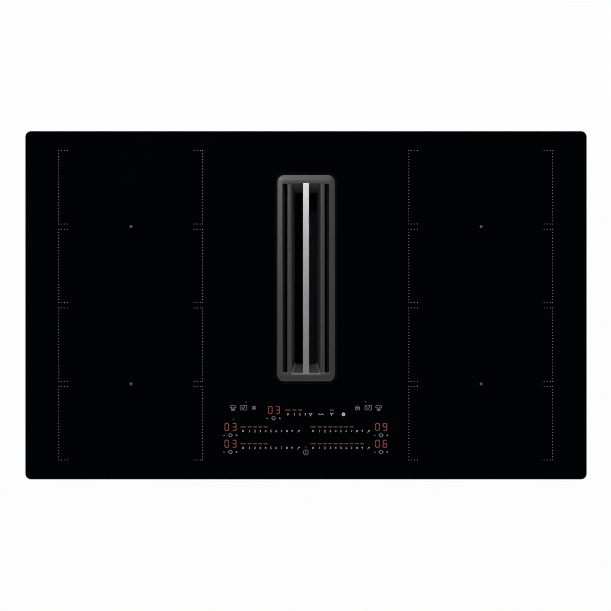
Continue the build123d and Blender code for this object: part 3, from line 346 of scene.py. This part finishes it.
def smooth(piece, angle):
    """Soft shading over edges that bend less than the angle."""
    mesh = piece.data
    mesh.shade_smooth()
    mesh.set_sharp_from_angle(angle=math.radians(angle))


def edges_at(verts):
    """The edges at some vertices, each once and in an order that every run repeats."""
    return list(dict.fromkeys(edge for vert in verts for edge in vert.link_edges))


def faces_at(verts):
    """The faces at some vertices, each once and in an order that every run repeats."""
    return list(dict.fromkeys(face for vert in verts for face in vert.link_faces))


def loop(bm, width, length, radius, level, x=0.0, y=0.0, steps=8):
    """The edges of a rectangle with rounded corners, at one level."""
    half_step = math.pi / (4 * steps)
    reach = radius / math.cos(half_step)
    made = bmesh.ops.create_circle(bm, segments=4 * steps, radius=reach)["verts"]
    bmesh.ops.rotate(bm, matrix=Matrix.Rotation(half_step, 3, "Z"), verts=made)
    for vert in made:
        vert.co.x += math.copysign(width / 2 - radius, vert.co.x)
        vert.co.y += math.copysign(length / 2 - radius, vert.co.y)
    bmesh.ops.translate(bm, vec=(x, y, level), verts=made)
    return edges_at(made)


def lofted(bm, loops):
    """Walls between successive loops."""
    for first, second in zip(loops, loops[1:]):
        bmesh.ops.bridge_loops(bm, edges=first + second)


def filled(bm, *loops):
    """A flat face inside the first loop, with the others as its holes."""
    edges = [edge for part in loops for edge in part]
    bmesh.ops.triangle_fill(bm, edges=edges, use_beauty=True, normal=(0, 0, 1))


def box(bm, low, high, rounding, segments=2):
    """A block between two corners, with its edges rounded."""
    low, high = Vector(low), Vector(high)
    made = bmesh.ops.create_cube(bm, size=1)["verts"]
    bmesh.ops.scale(bm, vec=high - low, verts=made)
    bmesh.ops.translate(bm, vec=(high + low) / 2, verts=made)
    bmesh.ops.bevel(
        bm, geom=edges_at(made), offset=rounding, segments=segments, profile=0.5, affect="EDGES",
        offset_type="OFFSET", material=-1,
    )


# ---------------------------------------------------------------- the grille and its bar
# Sizes in millimetres, worked out from the photograph and from the frame's own box
rail_width = 8.0
slot_width = 7.0
rib_width = 5.75
end_rail = 11.0
slot_from_end = 13.0
slot_end_radius = 3.0
funnel_side_draft = 5.5
funnel_end_draft = 14.5
funnel_wall = 2.2
funnel_corner = 1.2
frame_corner = 10.0
crown_width = 7.0
crown_drop = 0.5
edge_round = 1.3
mouth_round = 1.1
slot_round = 0.9
groove_width = 1.3
groove_depth = 0.4
groove_corner = groove_width / 2.2
groove_foot_width = groove_width / 3
groove_foot_corner = groove_width / 7
groove_end_slope = 0.5
# Sizes of the pale beads that paint a highlight along the mouth's front edge and front corners
highlight_bead_radius = 0.6
highlight_bead_sink = 0.1
highlight_bead_drop = mouth_round + 0.2
highlight_bead_foot_gap = 0.4
corner_inset = 0.5
bar_inset = 0.2
bar_round = 0.5
skirt_inset = 3.7
skirt_wall = 2.0
skirt_overlap = 0.1
skirt_gap = 0.3
seat_half_width = 3.7
seat_reach = 16.0
seat_end_gap = 1.0
seat_height = 5.0
seat_round = 0.4
round_steps = 4


def eased(bm, size, radius, rounding, top, place, draft=(0.0, 0.0), depth=1.0):
    """Loops from the top plane over a rounded edge into an opening whose walls may slope."""
    loops = []
    for step in range(round_steps + 1):
        turn = math.pi / 2 * step / round_steps
        out = rounding * (1 - math.sin(turn))
        drop = rounding * (1 - math.cos(turn))
        width = size[0] + 2 * (out - draft[0] * drop / depth)
        length = size[1] + 2 * (out - draft[1] * drop / depth)
        loops.append(loop(bm, width, length, radius + out, top - drop, *place))
    return loops


def bead(bm, start, end, radius):
    """A round bead between two points."""
    along = end - start
    made = bmesh.ops.create_cone(
        bm, cap_ends=True, segments=10, radius1=radius, radius2=radius, depth=along.length,
    )["verts"]
    bmesh.ops.rotate(bm, matrix=along.to_track_quat("Z", "Y").to_matrix(), verts=made)
    bmesh.ops.translate(bm, vec=(start + end) / 2, verts=made)


def mouth_seams(mouth, bottom, top, foot):
    """Painted highlight: pale beads along the front edge of the mouth and down its two front corners,
    where light catches those edges.
    """
    bm = bmesh.new()
    ends = []
    for level in (top - highlight_bead_drop, foot + highlight_bead_foot_gap):
        share = (top - level) / (top - foot)
        width, length = (big + (small - big) * share for big, small in zip(mouth, bottom))
        ends.append(Vector((width / 2 - highlight_bead_sink, inlet_y - length / 2 + highlight_bead_sink, level)))
    right = ends[0]
    bead(bm, Vector((-right.x, right.y, right.z)), right, highlight_bead_radius)
    for side in (-1, 1):
        corner = [
            Vector((side * (end.x - corner_inset), end.y + corner_inset, end.z)) for end in ends
        ]
        bead(bm, *corner, highlight_bead_radius)
    finish_piece(bm, "mouth_seams", painted_highlight_edge, inlet_grille)


def frame_outside(bm, width, length, top, under):
    """The frame's outer wall, its rounded edge and the crown that rises from it."""
    outside = [loop(bm, width, length, frame_corner, under, y=inlet_y)]
    for step in range(round_steps + 1):
        turn = math.pi / 2 * step / round_steps
        inset = edge_round * (1 - math.cos(turn))
        level = top - crown_drop - edge_round * (1 - math.sin(turn))
        size = (width - 2 * inset, length - 2 * inset, frame_corner - inset)
        outside.append(loop(bm, *size, level, y=inlet_y))
    crown = (width - 2 * crown_width, length - 2 * crown_width, frame_corner - crown_width)
    outside.append(loop(bm, *crown, top, y=inlet_y))
    lofted(bm, outside)
    return outside


def frame_skirt(bm, width, length, under):
    """The wall under the frame, down to just above the grease filter."""
    low = corners("grease_filter_frame")[1].z + skirt_gap
    outer = (width - 2 * skirt_inset, length - 2 * skirt_inset, frame_corner - skirt_inset)
    inner = tuple(value - 2 * skirt_wall for value in outer[:2]) + (outer[2] - skirt_wall,)
    high_ring = [loop(bm, *size, under + skirt_overlap, y=inlet_y) for size in (outer, inner)]
    low_ring = [loop(bm, *size, low, y=inlet_y) for size in (outer, inner)]
    for upper, lower in zip(high_ring, low_ring):
        lofted(bm, [upper, lower])
    filled(bm, *high_ring)
    filled(bm, *low_ring)


def bar_seats(bm, reach_at_bar):
    """A seat for the bar on each end wall of the mouth."""
    bar_low = corners("grille_bar")[0].z
    near, far = reach_at_bar - seat_reach, reach_at_bar - seat_end_gap
    for end in (-1, 1):
        front, back = sorted((inlet_y + end * near, inlet_y + end * far))
        low = (-seat_half_width, front, bar_low - seat_height)
        box(bm, low, (seat_half_width, back, bar_low), seat_round)


def grille_frame():
    """The cast frame, crowned towards its edge and rounded round every opening."""
    low, high = corners("grille_frame")
    width, length = high.x - low.x, high.y - low.y
    top, foot = high.z, low.z
    under = corners("grille_pads")[1].z
    y = inlet_y
    bm = bmesh.new()
    outside = frame_outside(bm, width, length, top, under)

    slots, grooves = [], []
    slot_x = width / 2 - rail_width - slot_width / 2
    slot_length = length - 2 * slot_from_end
    rib_x = slot_x - (slot_width + rib_width) / 2
    for side in (-1, 1):
        place = (side * slot_x, y)
        slot = eased(bm, (slot_width, slot_length), slot_end_radius, slot_round, top, place)
        slot.append(loop(bm, slot_width, slot_length, slot_end_radius, under, *place))
        lofted(bm, slot)
        slots.append(slot)
        place = (side * rib_x, y)
        foot_length = slot_length - 2 * groove_end_slope
        groove = [
            loop(bm, groove_width, slot_length, groove_corner, top, *place),
            loop(bm, groove_foot_width, foot_length, groove_foot_corner, top - groove_depth, *place),
        ]
        lofted(bm, groove)
        filled(bm, groove[1])
        grooves.append(groove)

    depth = top - foot
    mouth = (2 * (rib_x - rib_width / 2), length - 2 * end_rail)
    draft = (funnel_side_draft, funnel_end_draft)
    bottom = (mouth[0] - 2 * draft[0], mouth[1] - 2 * draft[1])
    inside = eased(bm, mouth, funnel_corner, mouth_round, top, (0, y), draft, depth)
    inside.append(loop(bm, *bottom, funnel_corner, foot, y=y))
    lofted(bm, inside)
    behind = []
    for level in (foot, under):
        share = (top - level) / depth
        size = [wide + 2 * funnel_wall - 2 * slope * share for wide, slope in zip(mouth, draft)]
        behind.append(loop(bm, *size, funnel_corner + funnel_wall, level, y=y))
    lofted(bm, behind)
    filled(bm, behind[0], inside[-1])
    filled(bm, outside[-1], slots[0][0], slots[1][0], grooves[0][0], grooves[1][0], inside[0])
    filled(bm, outside[0], slots[0][-1], slots[1][-1], behind[1])

    frame_skirt(bm, width, length, under)
    bar_low = corners("grille_bar")[0].z
    bar_seats(bm, mouth[1] / 2 - draft[1] * (top - bar_low) / depth)
    piece = finish_piece(bm, "grille_frame_rounded", slot_materials["grille_coating"], inlet_grille)
    smooth(piece, angle=40)
    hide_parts("grille_frame")
    # Pale beads that paint a highlight on the mouth's front edges
    mouth_seams(mouth, bottom, top, foot)


def grille_bar():
    """The bright bar, whose ends follow the sloping end walls of the mouth."""
    low, high = corners("grille_bar")
    inset = Vector((bar_inset, 0, 0))
    bm = bmesh.new()
    box(bm, low + inset, high - inset, bar_round, segments=3)
    depth = corners("grille_frame")[1].z - corners("grille_frame")[0].z
    for vert in bm.verts:
        lean = funnel_end_draft * (high.z - vert.co.z) / depth
        vert.co.y -= math.copysign(lean, vert.co.y - inlet_y)
    piece = finish_piece(bm, "grille_bar_rounded", slot_materials["bar_aluminium"], inlet_grille)
    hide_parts("grille_bar")


grille_frame()
grille_bar()


# ---------------------------------------------------------------- screws and ribs of the body
screw_radius = 3.5
screw_taper = 0.7
screw_rise = 2.2
screw_rim = 1.5
screw_sink = 0.1
socket_depth = 0.9
socket_draft = 0.05
tray_screw_level = -39.0
long_wall_screws = (-330, -110, 110, 330)
short_wall_screws = (-95, 0, 95)
rib_inner, rib_outer = 62.0, 86.0
rib_rise = 1.6
rib_thickness = 2.4
rib_sink = 0.2
rib_round = 0.4
rib_count = 12


def screw(bm, place, outward):
    """A pan head with a round socket; outward points away from the wall."""
    place, outward = Vector(place), Vector(outward)
    old = set(bm.verts)
    made = bmesh.ops.create_cone(
        bm, cap_ends=True, segments=16, radius1=screw_radius, radius2=screw_radius - screw_taper,
        depth=screw_rise,
    )["verts"]
    top = max(faces_at(made), key=lambda face: face.calc_center_median().z)
    bmesh.ops.inset_individual(bm, faces=[top], thickness=screw_rim, depth=0)
    bmesh.ops.inset_individual(bm, faces=[top], thickness=socket_draft, depth=-socket_depth)
    new = [vert for vert in bm.verts if vert not in old]
    bmesh.ops.rotate(bm, matrix=outward.to_track_quat("Z", "Y").to_matrix(), verts=new)
    bmesh.ops.translate(bm, vec=place + outward * (screw_rise / 2 - screw_sink), verts=new)


def tray_screws():
    """Screws through the tray's walls into the support frame."""
    low, high = corners("base_tray")
    bm = bmesh.new()
    for x in long_wall_screws:
        screw(bm, (x, low.y, tray_screw_level), (0, -1, 0))
        screw(bm, (x, high.y, tray_screw_level), (0, 1, 0))
    for y in short_wall_screws:
        screw(bm, (low.x, y, tray_screw_level), (-1, 0, 0))
        screw(bm, (high.x, y, tray_screw_level), (1, 0, 0))
    piece = finish_piece(bm, "tray_wall_screws", slot_materials["spring_steel"], cooktop)
    smooth(piece, angle=35)


def scroll_ribs():
    """Radial ribs under the fan's volute, round the motor."""
    hub = middle("fan_wheel")
    under = corners("fan_scroll_housing")[0].z
    half = rib_thickness / 2
    low, high = (rib_inner, -half, under - rib_rise), (rib_outer, half, under + rib_sink)
    bm = bmesh.new()
    for index in range(rib_count):
        old = set(bm.verts)
        box(bm, low, high, rib_round, segments=1)
        new = [vert for vert in bm.verts if vert not in old]
        turn = Matrix.Rotation(math.tau * index / rib_count, 3, "Z")
        bmesh.ops.rotate(bm, matrix=turn, verts=new)
        bmesh.ops.translate(bm, vec=(hub.x, hub.y, 0), verts=new)
    finish_piece(bm, "scroll_ribs", slot_materials["housing_plastic"], cooktop)


tray_screws()
scroll_ribs()


# ---------------------------------------------------------------- prints and displays on the glass
ink_rise = 0.04
ink_sink = 0.02
ink_high = glass_high + ink_rise
ink_low = glass_high - ink_sink
joint_rise = 0.015
joint_share = 1.08
joint_sides = 8
text_size_share = 1.37


def ink_dot(bm, x, y, diameter, sides=10, high=ink_high):
    """A round dot of ink."""
    made = bmesh.ops.create_cone(
        bm, cap_ends=True, segments=sides, radius1=diameter / 2, radius2=diameter / 2,
        depth=high - ink_low,
    )["verts"]
    bmesh.ops.translate(bm, vec=(x, y, (high + ink_low) / 2), verts=made)


def ink_bar(bm, x, y, width, length, turn=0.0):
    """A flat bar round its middle, turned by an angle."""
    made = bmesh.ops.create_cube(bm, size=1)["verts"]
    bmesh.ops.scale(bm, vec=(width, length, ink_high - ink_low), verts=made)
    bmesh.ops.rotate(bm, matrix=Matrix.Rotation(turn, 3, "Z"), verts=made)
    bmesh.ops.translate(bm, vec=(x, y, (ink_high + ink_low) / 2), verts=made)


def ink_line(bm, points, width, closed=False):
    """A drawn line with round joints, which stand a little over it so that no two faces share a place."""
    ends = points[1:] + points[:1] if closed else points[1:]
    for (x0, y0), (x1, y1) in zip(points, ends):
        length = math.hypot(x1 - x0, y1 - y0)
        turn = math.atan2(y1 - y0, x1 - x0)
        ink_bar(bm, (x0 + x1) / 2, (y0 + y1) / 2, length, width, turn)
    for x, y in points:
        ink_dot(bm, x, y, width * joint_share, joint_sides, ink_high + joint_rise)


def icon_line(bm, x, y, points, closed=False, width=None):
    """A line of an icon, with its points given from the icon's middle."""
    ink_line(bm, [(x + right, y + up) for right, up in points], width or line_width, closed)


def arc_points(x, y, radius, start, end, steps):
    """Points along an arc, between two angles in degrees."""
    angles = [math.radians(start + (end - start) * step / steps) for step in range(steps + 1)]
    return [(x + radius * math.cos(angle), y + radius * math.sin(angle)) for angle in angles]


def raised(bm, made, x, y):
    """Moves a flat shape to its place on the glass and gives it thickness."""
    bmesh.ops.translate(bm, vec=(x, y, ink_low), verts=made)
    grown = bmesh.ops.extrude_face_region(bm, geom=faces_at(made), use_keep_orig=True)["geom"]
    tops = [item for item in grown if isinstance(item, bmesh.types.BMVert)]
    bmesh.ops.translate(bm, vec=(0, 0, ink_high - ink_low), verts=tops)


def ink_ring(bm, x, y, radius, width, sides=24):
    """A closed ring, round the middle of its stroke."""
    made, edges = [], []
    for reach in (radius + width / 2, radius - width / 2):
        circle = bmesh.ops.create_circle(bm, segments=sides, radius=reach)["verts"]
        made += circle
        edges.append(edges_at(circle))
    filled(bm, *edges)
    raised(bm, made, x, y)


def ink_figure(bm, text, x, y, height):
    """A plain printed figure, centred on its place."""
    curve = bpy.data.curves.new("figure", "FONT")
    curve.body = text
    curve.size = height * text_size_share
    curve.align_x = "CENTER"
    curve.align_y = "CENTER"
    curve.resolution_u = 2
    holder = bpy.data.objects.new("figure", curve)
    bpy.context.scene.collection.objects.link(holder)
    bpy.context.view_layer.update()
    flat = bpy.data.meshes.new_from_object(holder)
    bpy.data.objects.remove(holder)
    before = set(bm.verts)
    bm.from_mesh(flat)
    bpy.data.meshes.remove(flat)
    raised(bm, [vert for vert in bm.verts if vert not in before], x, y)


# Zone marks
dot_pitch = 4.52
dots_in_column = 25
dot_size = 1.0
return_dots = (3.5, 8.1, 12.6)
right_column_inset = 0.9
centre_radius = 1.25
centre_stroke = 1.6


def zone_marks():
    """A dotted column down both sides of each coil, with short returns at its ends."""
    bm = bmesh.new()
    for name in coil_nodes:
        low, high = corners(name)
        centre = (low.y + high.y) / 2
        reach = dot_pitch * (dots_in_column - 1) / 2
        for column, inward in ((low.x, 1), (high.x - right_column_inset, -1)):
            for step in range(dots_in_column):
                ink_dot(bm, column, centre - reach + step * dot_pitch, dot_size)
            for end in (-reach, reach):
                for along in return_dots:
                    ink_dot(bm, column + inward * along, centre + end, dot_size)
    finish_piece(bm, "zone_marks", dim_ink, cooktop)


def zone_centres():
    """A small ring in the middle of each pair of coils."""
    bm = bmesh.new()
    for side in ("left", "right"):
        for first, second in ((1, 2), (3, 4)):
            one = middle(f"induction_coil_{first}_{side}")
            two = middle(f"induction_coil_{second}_{side}")
            ink_ring(bm, one.x, (one.y + two.y) / 2, centre_radius, centre_stroke)
    finish_piece(bm, "zone_centres", faint_ink, cooktop)


# Control panel, in millimetres from the middle of the glass
rear_row = -179.8
front_row = rear_row - 24.85
extractor_row = -154.9
icon_row = -151.6
left_scale = -93.1
right_scale = 10.4
extractor_scale = -26.8
scale_first_gap = 9.8
scale_pitch = 7.86
label_drop = 6.35
key_drop = 12.4
extractor_key_drop = 12.1
figure_height = 11.4
figure_width = 6.4
figure_pitch = 11.0
figure_stroke = 1.0
flat_shortening = 1.9 * figure_stroke
upright_shortening = 0.9 * figure_stroke
label_height = 3.5
first_bar = 7.4
next_bar = 5.6
bar_height = 1.35
boost_gap = 9.6
line_width = 0.55
key_width = 0.75
power_place = (-0.4, -217.5)
filter_mark = 38.0
lamp_size = 1.9
lamp_places = ((-88.7, -143.0), (87.9, -142.6), (-107.0, -168.4), (-0.4, -209.8))

# Two lit figures for each zone, and for the extractor; each has its timer keys below it
display_places = (
    ("03", -111.6, rear_row), ("03", -111.6, front_row),
    ("09", 111.2, rear_row), ("06", 111.2, front_row),
    ("03", -47.3, extractor_row),
)
key_places = (
    (-111.8, rear_row - key_drop), (-111.8, front_row - key_drop),
    (111.0, rear_row - key_drop), (111.0, front_row - key_drop),
    (-47.9, extractor_row - extractor_key_drop),
)
# Where each slider starts, its level and the number of its lit bars
slider_rows = (
    (left_scale, rear_row, 5), (left_scale, front_row, 5),
    (right_scale, rear_row, 8), (right_scale, front_row, 10),
    (extractor_scale, extractor_row, 3),
)


def scale_places(start, count):
    """The places of a slider's figures; its zero has a wider gap after it."""
    places = [start]
    for step in range(count - 1):
        places.append(start + scale_first_gap + step * scale_pitch)
    return places


# The seven segments of a lit figure: how far across and up from its middle, and how it lies
segments = {
    "top": (0, 1, "flat"), "upper_right": (1, 0.5, "up"), "lower_right": (1, -0.5, "up"),
    "bottom": (0, -1, "flat"), "lower_left": (-1, -0.5, "up"), "upper_left": (-1, 0.5, "up"),
    "middle": (0, 0, "flat"),
}
figures = {
    "0": ("top", "upper_right", "lower_right", "bottom", "lower_left", "upper_left"),
    "3": ("top", "upper_right", "middle", "lower_right", "bottom"),
    "6": ("top", "upper_left", "middle", "lower_left", "lower_right", "bottom"),
    "9": ("top", "upper_left", "upper_right", "middle", "lower_right", "bottom"),
}


def lit_figure(bm, figure, x, y):
    """One figure of lit segments, with small gaps where they meet."""
    half_width = (figure_width - figure_stroke) / 2
    half_height = (figure_height - figure_stroke) / 2
    for segment in figures[figure]:
        across, up, direction = segments[segment]
        place = (x + across * half_width, y + up * half_height)
        if direction == "flat":
            ink_bar(bm, *place, figure_width - flat_shortening, figure_stroke)
        else:
            ink_bar(bm, *place, figure_stroke, half_height - upright_shortening)


def displays():
    """The lit figures of every zone and of the extractor."""
    bm = bmesh.new()
    for shown, x, y in display_places:
        for side, figure in zip((-0.5, 0.5), shown):
            lit_figure(bm, figure, x + side * figure_pitch, y)
    finish_piece(bm, "display_figures", lit_figures, cooktop)


def slider_bars():
    """The lit part of each slider, and the lamp of the filter mark."""
    bm = bmesh.new()
    for start, y, count in slider_rows:
        for index, x in enumerate(scale_places(start, count)):
            ink_bar(bm, x, y, next_bar if index else first_bar, bar_height)
    ink_bar(bm, filter_mark, extractor_row, next_bar, bar_height)
    finish_piece(bm, "slider_bars", lit_bars, cooktop)


def small_lamps():
    """Faint lamps over the keys."""
    bm = bmesh.new()
    for x, y in lamp_places:
        ink_dot(bm, x, y, lamp_size)
    finish_piece(bm, "small_lamps", faint_lamps, cooktop)


def boost_mark(bm, x, y):
    """One slanted stroke with a short one beside it, for full power."""
    icon_line(bm, x, y, [(-1.5, -1.7), (0.4, 1.5)])
    icon_line(bm, x, y, [(0.7, 0.1), (1.6, 1.5)])


def scale_labels():
    """The figures under each slider."""
    bm = bmesh.new()
    for start in (left_scale, right_scale):
        places = scale_places(start, 10)
        for row in (rear_row, front_row):
            for value, x in enumerate(places):
                ink_figure(bm, str(value), x, row - label_drop, label_height)
            boost_mark(bm, places[-1] + boost_gap, row - label_drop)
    for value, x in enumerate(scale_places(extractor_scale, 4)):
        ink_figure(bm, str(value), x, extractor_row - label_drop, label_height)
    finish_piece(bm, "scale_labels", pale_ink, cooktop)


# Icons: their points are in millimetres from the icon's own middle
def timer_keys(bm, x, y):
    """Minus, a clock and plus."""
    minus, plus = x - 9.3, x + 9.1
    sign_length = 2.6
    ink_bar(bm, minus, y, sign_length, key_width)
    ink_ring(bm, x, y, 2.4, key_width)
    for side in (-1, 1):
        ink_bar(bm, x + side * 3.3, y + 0.4, 0.9, key_width)
        ink_bar(bm, plus, y + side * 0.9, 0.9, 0.9)
    ink_bar(bm, plus, y, sign_length, 0.85)


def melt_icon(bm, x, y):
    """A cook's hat: three puffs over a band."""
    for side in (-1, 1):
        icon_line(bm, x, y, arc_points(side * 2.5, 1.5, 1.8, 90 + side * 20, 90 - side * 150, 8))
        icon_line(bm, x, y, [(side * 2.3, -0.3), (side * 2.1, -4.0)])
    icon_line(bm, x, y, arc_points(0, 2.1, 1.9, 155, 25, 6))
    icon_line(bm, x, y, [(-2.5, 0.8), (0, -0.9), (2.5, 0.8)])
    for level in (-2.3, -4.0):
        icon_line(bm, x, y, [(-2.1, level), (2.1, level)])


def bridge_icon(bm, x, y):
    """Two fields beside a wide one, joined by their frame."""
    half = 3.2
    for low, high in ((-0.1, half), (-half, -0.1)):
        icon_line(bm, x, y, [(-4.8, low), (-4.8, high), (-1.9, high), (-1.9, low)])
    for level in (-half, 0):
        icon_line(bm, x, y, [(-4.8, level), (-1.9, level)])
    icon_line(bm, x, y, [(-0.4, half), (4.9, half), (4.9, -half), (1.6, -half)])
    icon_line(bm, x, y, [(1.6, half), (1.6, 0.6), (-0.4, -1.2), (-0.4, -half)])


def pause_icon(bm, x, y):
    """Four small squares."""
    gap, side = 1.35, 1.75
    for across in (-gap, gap):
        for up in (-gap, gap):
            ink_bar(bm, x + across, y + up, side, side)


def lock_icon(bm, x, y):
    """A padlock."""
    half, shoulder = 3.1, 0.7
    base = [(-half, -half), (half, -half), (half, shoulder), (-half, shoulder)]
    icon_line(bm, x, y, base, closed=True)
    icon_line(bm, x, y, arc_points(0, shoulder, 2.3, 180, 0, 8))
    icon_line(bm, x, y, [(-1.1, -0.4), (0, -1.7), (1.1, -0.4)])


def fan_icon(bm, x, y):
    """Three blades of a fan."""
    blades, reach = 3, 1.7
    for index in range(blades):
        turn = math.radians(360 * index / blades + 30)
        ink_bar(bm, x + reach * math.cos(turn), y + reach * math.sin(turn), 1.9, 1.4, turn)


def filter_icon(bm, x, y):
    """A forked mark under the extractor's filter lamp."""
    icon_line(bm, x, y, [(-2.3, 2.0), (0, 0.2), (2.3, 2.0)], width=key_width)
    icon_line(bm, x, y, [(0, 0.2), (0, -2.0)], width=key_width)


def wave_icon(bm, x, y):
    """A low wave of air."""
    points = [(step * 0.5, 0.55 * math.sin(step * 0.9)) for step in range(-7, 8)]
    icon_line(bm, x, y, points, width=1.0)


def power_icon(bm, x, y):
    """An upright stroke in a ring."""
    ink_ring(bm, x, y, 3.7, line_width)
    ink_bar(bm, x, y, line_width, 3.6)


icons = (
    (melt_icon, -107.9), (bridge_icon, -92.5), (pause_icon, -77.0),
    (lock_icon, 76.1), (bridge_icon, 92.1), (melt_icon, 107.3),
)


def panel_icons():
    """The row of icons, the timer keys and the power key."""
    bm = bmesh.new()
    for icon, x in icons:
        icon(bm, x, icon_row)
    for place in key_places:
        timer_keys(bm, *place)
    power_icon(bm, *power_place)
    finish_piece(bm, "panel_icons", grey_ink, cooktop)


def extractor_marks():
    """The brighter marks of the extractor's row."""
    bm = bmesh.new()
    y = extractor_row - label_drop
    fan_icon(bm, 6.8, y)
    wave_icon(bm, 22.3, y)
    filter_icon(bm, filter_mark, y)
    ink_ring(bm, 55.4, y, 1.5, 2.2)
    finish_piece(bm, "extractor_marks", pale_ink, cooktop)


zone_marks()
zone_centres()
displays()
slider_bars()
small_lamps()
scale_labels()
panel_icons()
extractor_marks()


# ---------------------------------------------------------------- floor, world, lamps and camera
floor_half_width = 15.0
floor_grey = 0.86
floor_glow_share = 0.96
horizon_height, horizon_white = 0.35, (1, 1, 1, 1)
ceiling_height, ceiling_dark = 0.93, (0.004, 0.005, 0.006, 1)


def mixed(tree, share, first, second):
    """Two shaders mixed by a share of the second."""
    mix = tree.nodes.new("ShaderNodeMixShader")
    tree.links.new(share, mix.inputs["Fac"])
    tree.links.new(first, mix.inputs[1])
    tree.links.new(second, mix.inputs[2])
    return mix.outputs["Shader"]


def white_floor():
    """A pale floor, white to the camera and to mirrors but for the shadow on it, clear from below."""
    bm = bmesh.new()
    bmesh.ops.create_grid(bm, x_segments=1, y_segments=1, size=floor_half_width)
    bmesh.ops.translate(bm, vec=(0, 0, floor_level * MM), verts=bm.verts)
    mesh = bpy.data.meshes.new("floor")
    bm.to_mesh(mesh)
    bm.free()
    floor = bpy.data.objects.new("floor", mesh)
    bpy.context.scene.collection.objects.link(floor)
    material, tree, shader = new_material("white floor")
    shader.inputs["Base Color"].default_value = (floor_grey, floor_grey, floor_grey, 1)
    shader.inputs["Roughness"].default_value = 0.9
    shader.inputs["Specular IOR Level"].default_value = 0.0
    glow = tree.nodes.new("ShaderNodeEmission")
    glow.inputs["Strength"].default_value = 1.0
    rays = tree.nodes.new("ShaderNodeLightPath")
    seen = rays.outputs["Is Camera Ray"]
    for ray in ("Is Glossy Ray", "Is Transmission Ray"):
        seen = calculated(tree, "MAXIMUM", seen, rays.outputs[ray])
    share = calculated(tree, "MULTIPLY", seen, floor_glow_share)
    upper_side = mixed(tree, share, shader.outputs["BSDF"], glow.outputs["Emission"])
    back = tree.nodes.new("ShaderNodeNewGeometry")
    clear = tree.nodes.new("ShaderNodeBsdfTransparent")
    one_sided = mixed(tree, back.outputs["Backfacing"], upper_side, clear.outputs["BSDF"])
    tree.links.new(one_sided, tree.nodes["Material Output"].inputs["Surface"])
    mesh.materials.append(material)


def studio_world():
    """White round the horizon and dark overhead, so that the glass mirrors a dark ceiling."""
    world = bpy.data.worlds.new("studio")
    world.use_nodes = True
    bpy.context.scene.world = world
    tree = world.node_tree
    background = tree.nodes["Background"]
    coordinates = tree.nodes.new("ShaderNodeTexCoord")
    split = tree.nodes.new("ShaderNodeSeparateXYZ")
    tree.links.new(coordinates.outputs["Generated"], split.inputs["Vector"])
    ramp = tree.nodes.new("ShaderNodeValToRGB")
    ramp.color_ramp.elements[0].position = horizon_height
    ramp.color_ramp.elements[0].color = horizon_white
    ramp.color_ramp.elements[1].position = ceiling_height
    ramp.color_ramp.elements[1].color = ceiling_dark
    tree.links.new(split.outputs["Z"], ramp.inputs["Fac"])
    tree.links.new(ramp.outputs["Color"], background.inputs["Color"])
    background.inputs["Strength"].default_value = 1.0


def softbox(name, place, target, size, power):
    """A rectangular lamp that faces a point."""
    light = bpy.data.lights.new(name, "AREA")
    light.shape = "RECTANGLE"
    light.size, light.size_y = size
    light.energy = power
    lamp = bpy.data.objects.new(name, light)
    bpy.context.scene.collection.objects.link(lamp)
    lamp.location = place
    aim = Vector(target) - Vector(place)
    lamp.rotation_euler = aim.to_track_quat("-Z", "Y").to_euler()


# The width of the glass's plane that the photograph shows, and the point in its middle
frame_width = 903.2 * MM
frame_middle = Vector((-0.75 * MM, -0.34 * MM))
camera_height = 6.0
sensor_width = 36.0
camera_reach = 50.0


def overhead_camera():
    """A long lens straight above, so that the walls of the mouth hardly lean."""
    data = bpy.data.cameras.new("overhead")
    data.sensor_width = sensor_width
    data.lens = sensor_width * camera_height / frame_width
    data.clip_end = camera_reach
    camera = bpy.data.objects.new("overhead", data)
    bpy.context.scene.collection.objects.link(camera)
    camera.location = (frame_middle.x, frame_middle.y, camera_height + glass_high * MM)
    bpy.context.scene.camera = camera


white_floor()
studio_world()
# Name, place, the point it faces, size and watts
softbox("rear softbox", (-0.22, 0.44, 1.15), (0, 0.05, 0), (0.2, 0.14), 2.95)
softbox("low rear softbox", (0.0, 2.2, 0.95), (0, 0, 0), (0.9, 0.5), 15)
softbox("front softbox", (0.4, -1.4, 1.1), (0, 0, 0), (0.9, 0.6), 3)
overhead_camera()
bpy.context.scene.view_settings.view_transform = "Standard"
# A narrow filter and plain samples keep the small prints sharp
bpy.context.scene.cycles.filter_width = 0.9
bpy.context.scene.cycles.denoising_prefilter = "NONE"
bpy.context.scene.cycles.use_adaptive_sampling = False
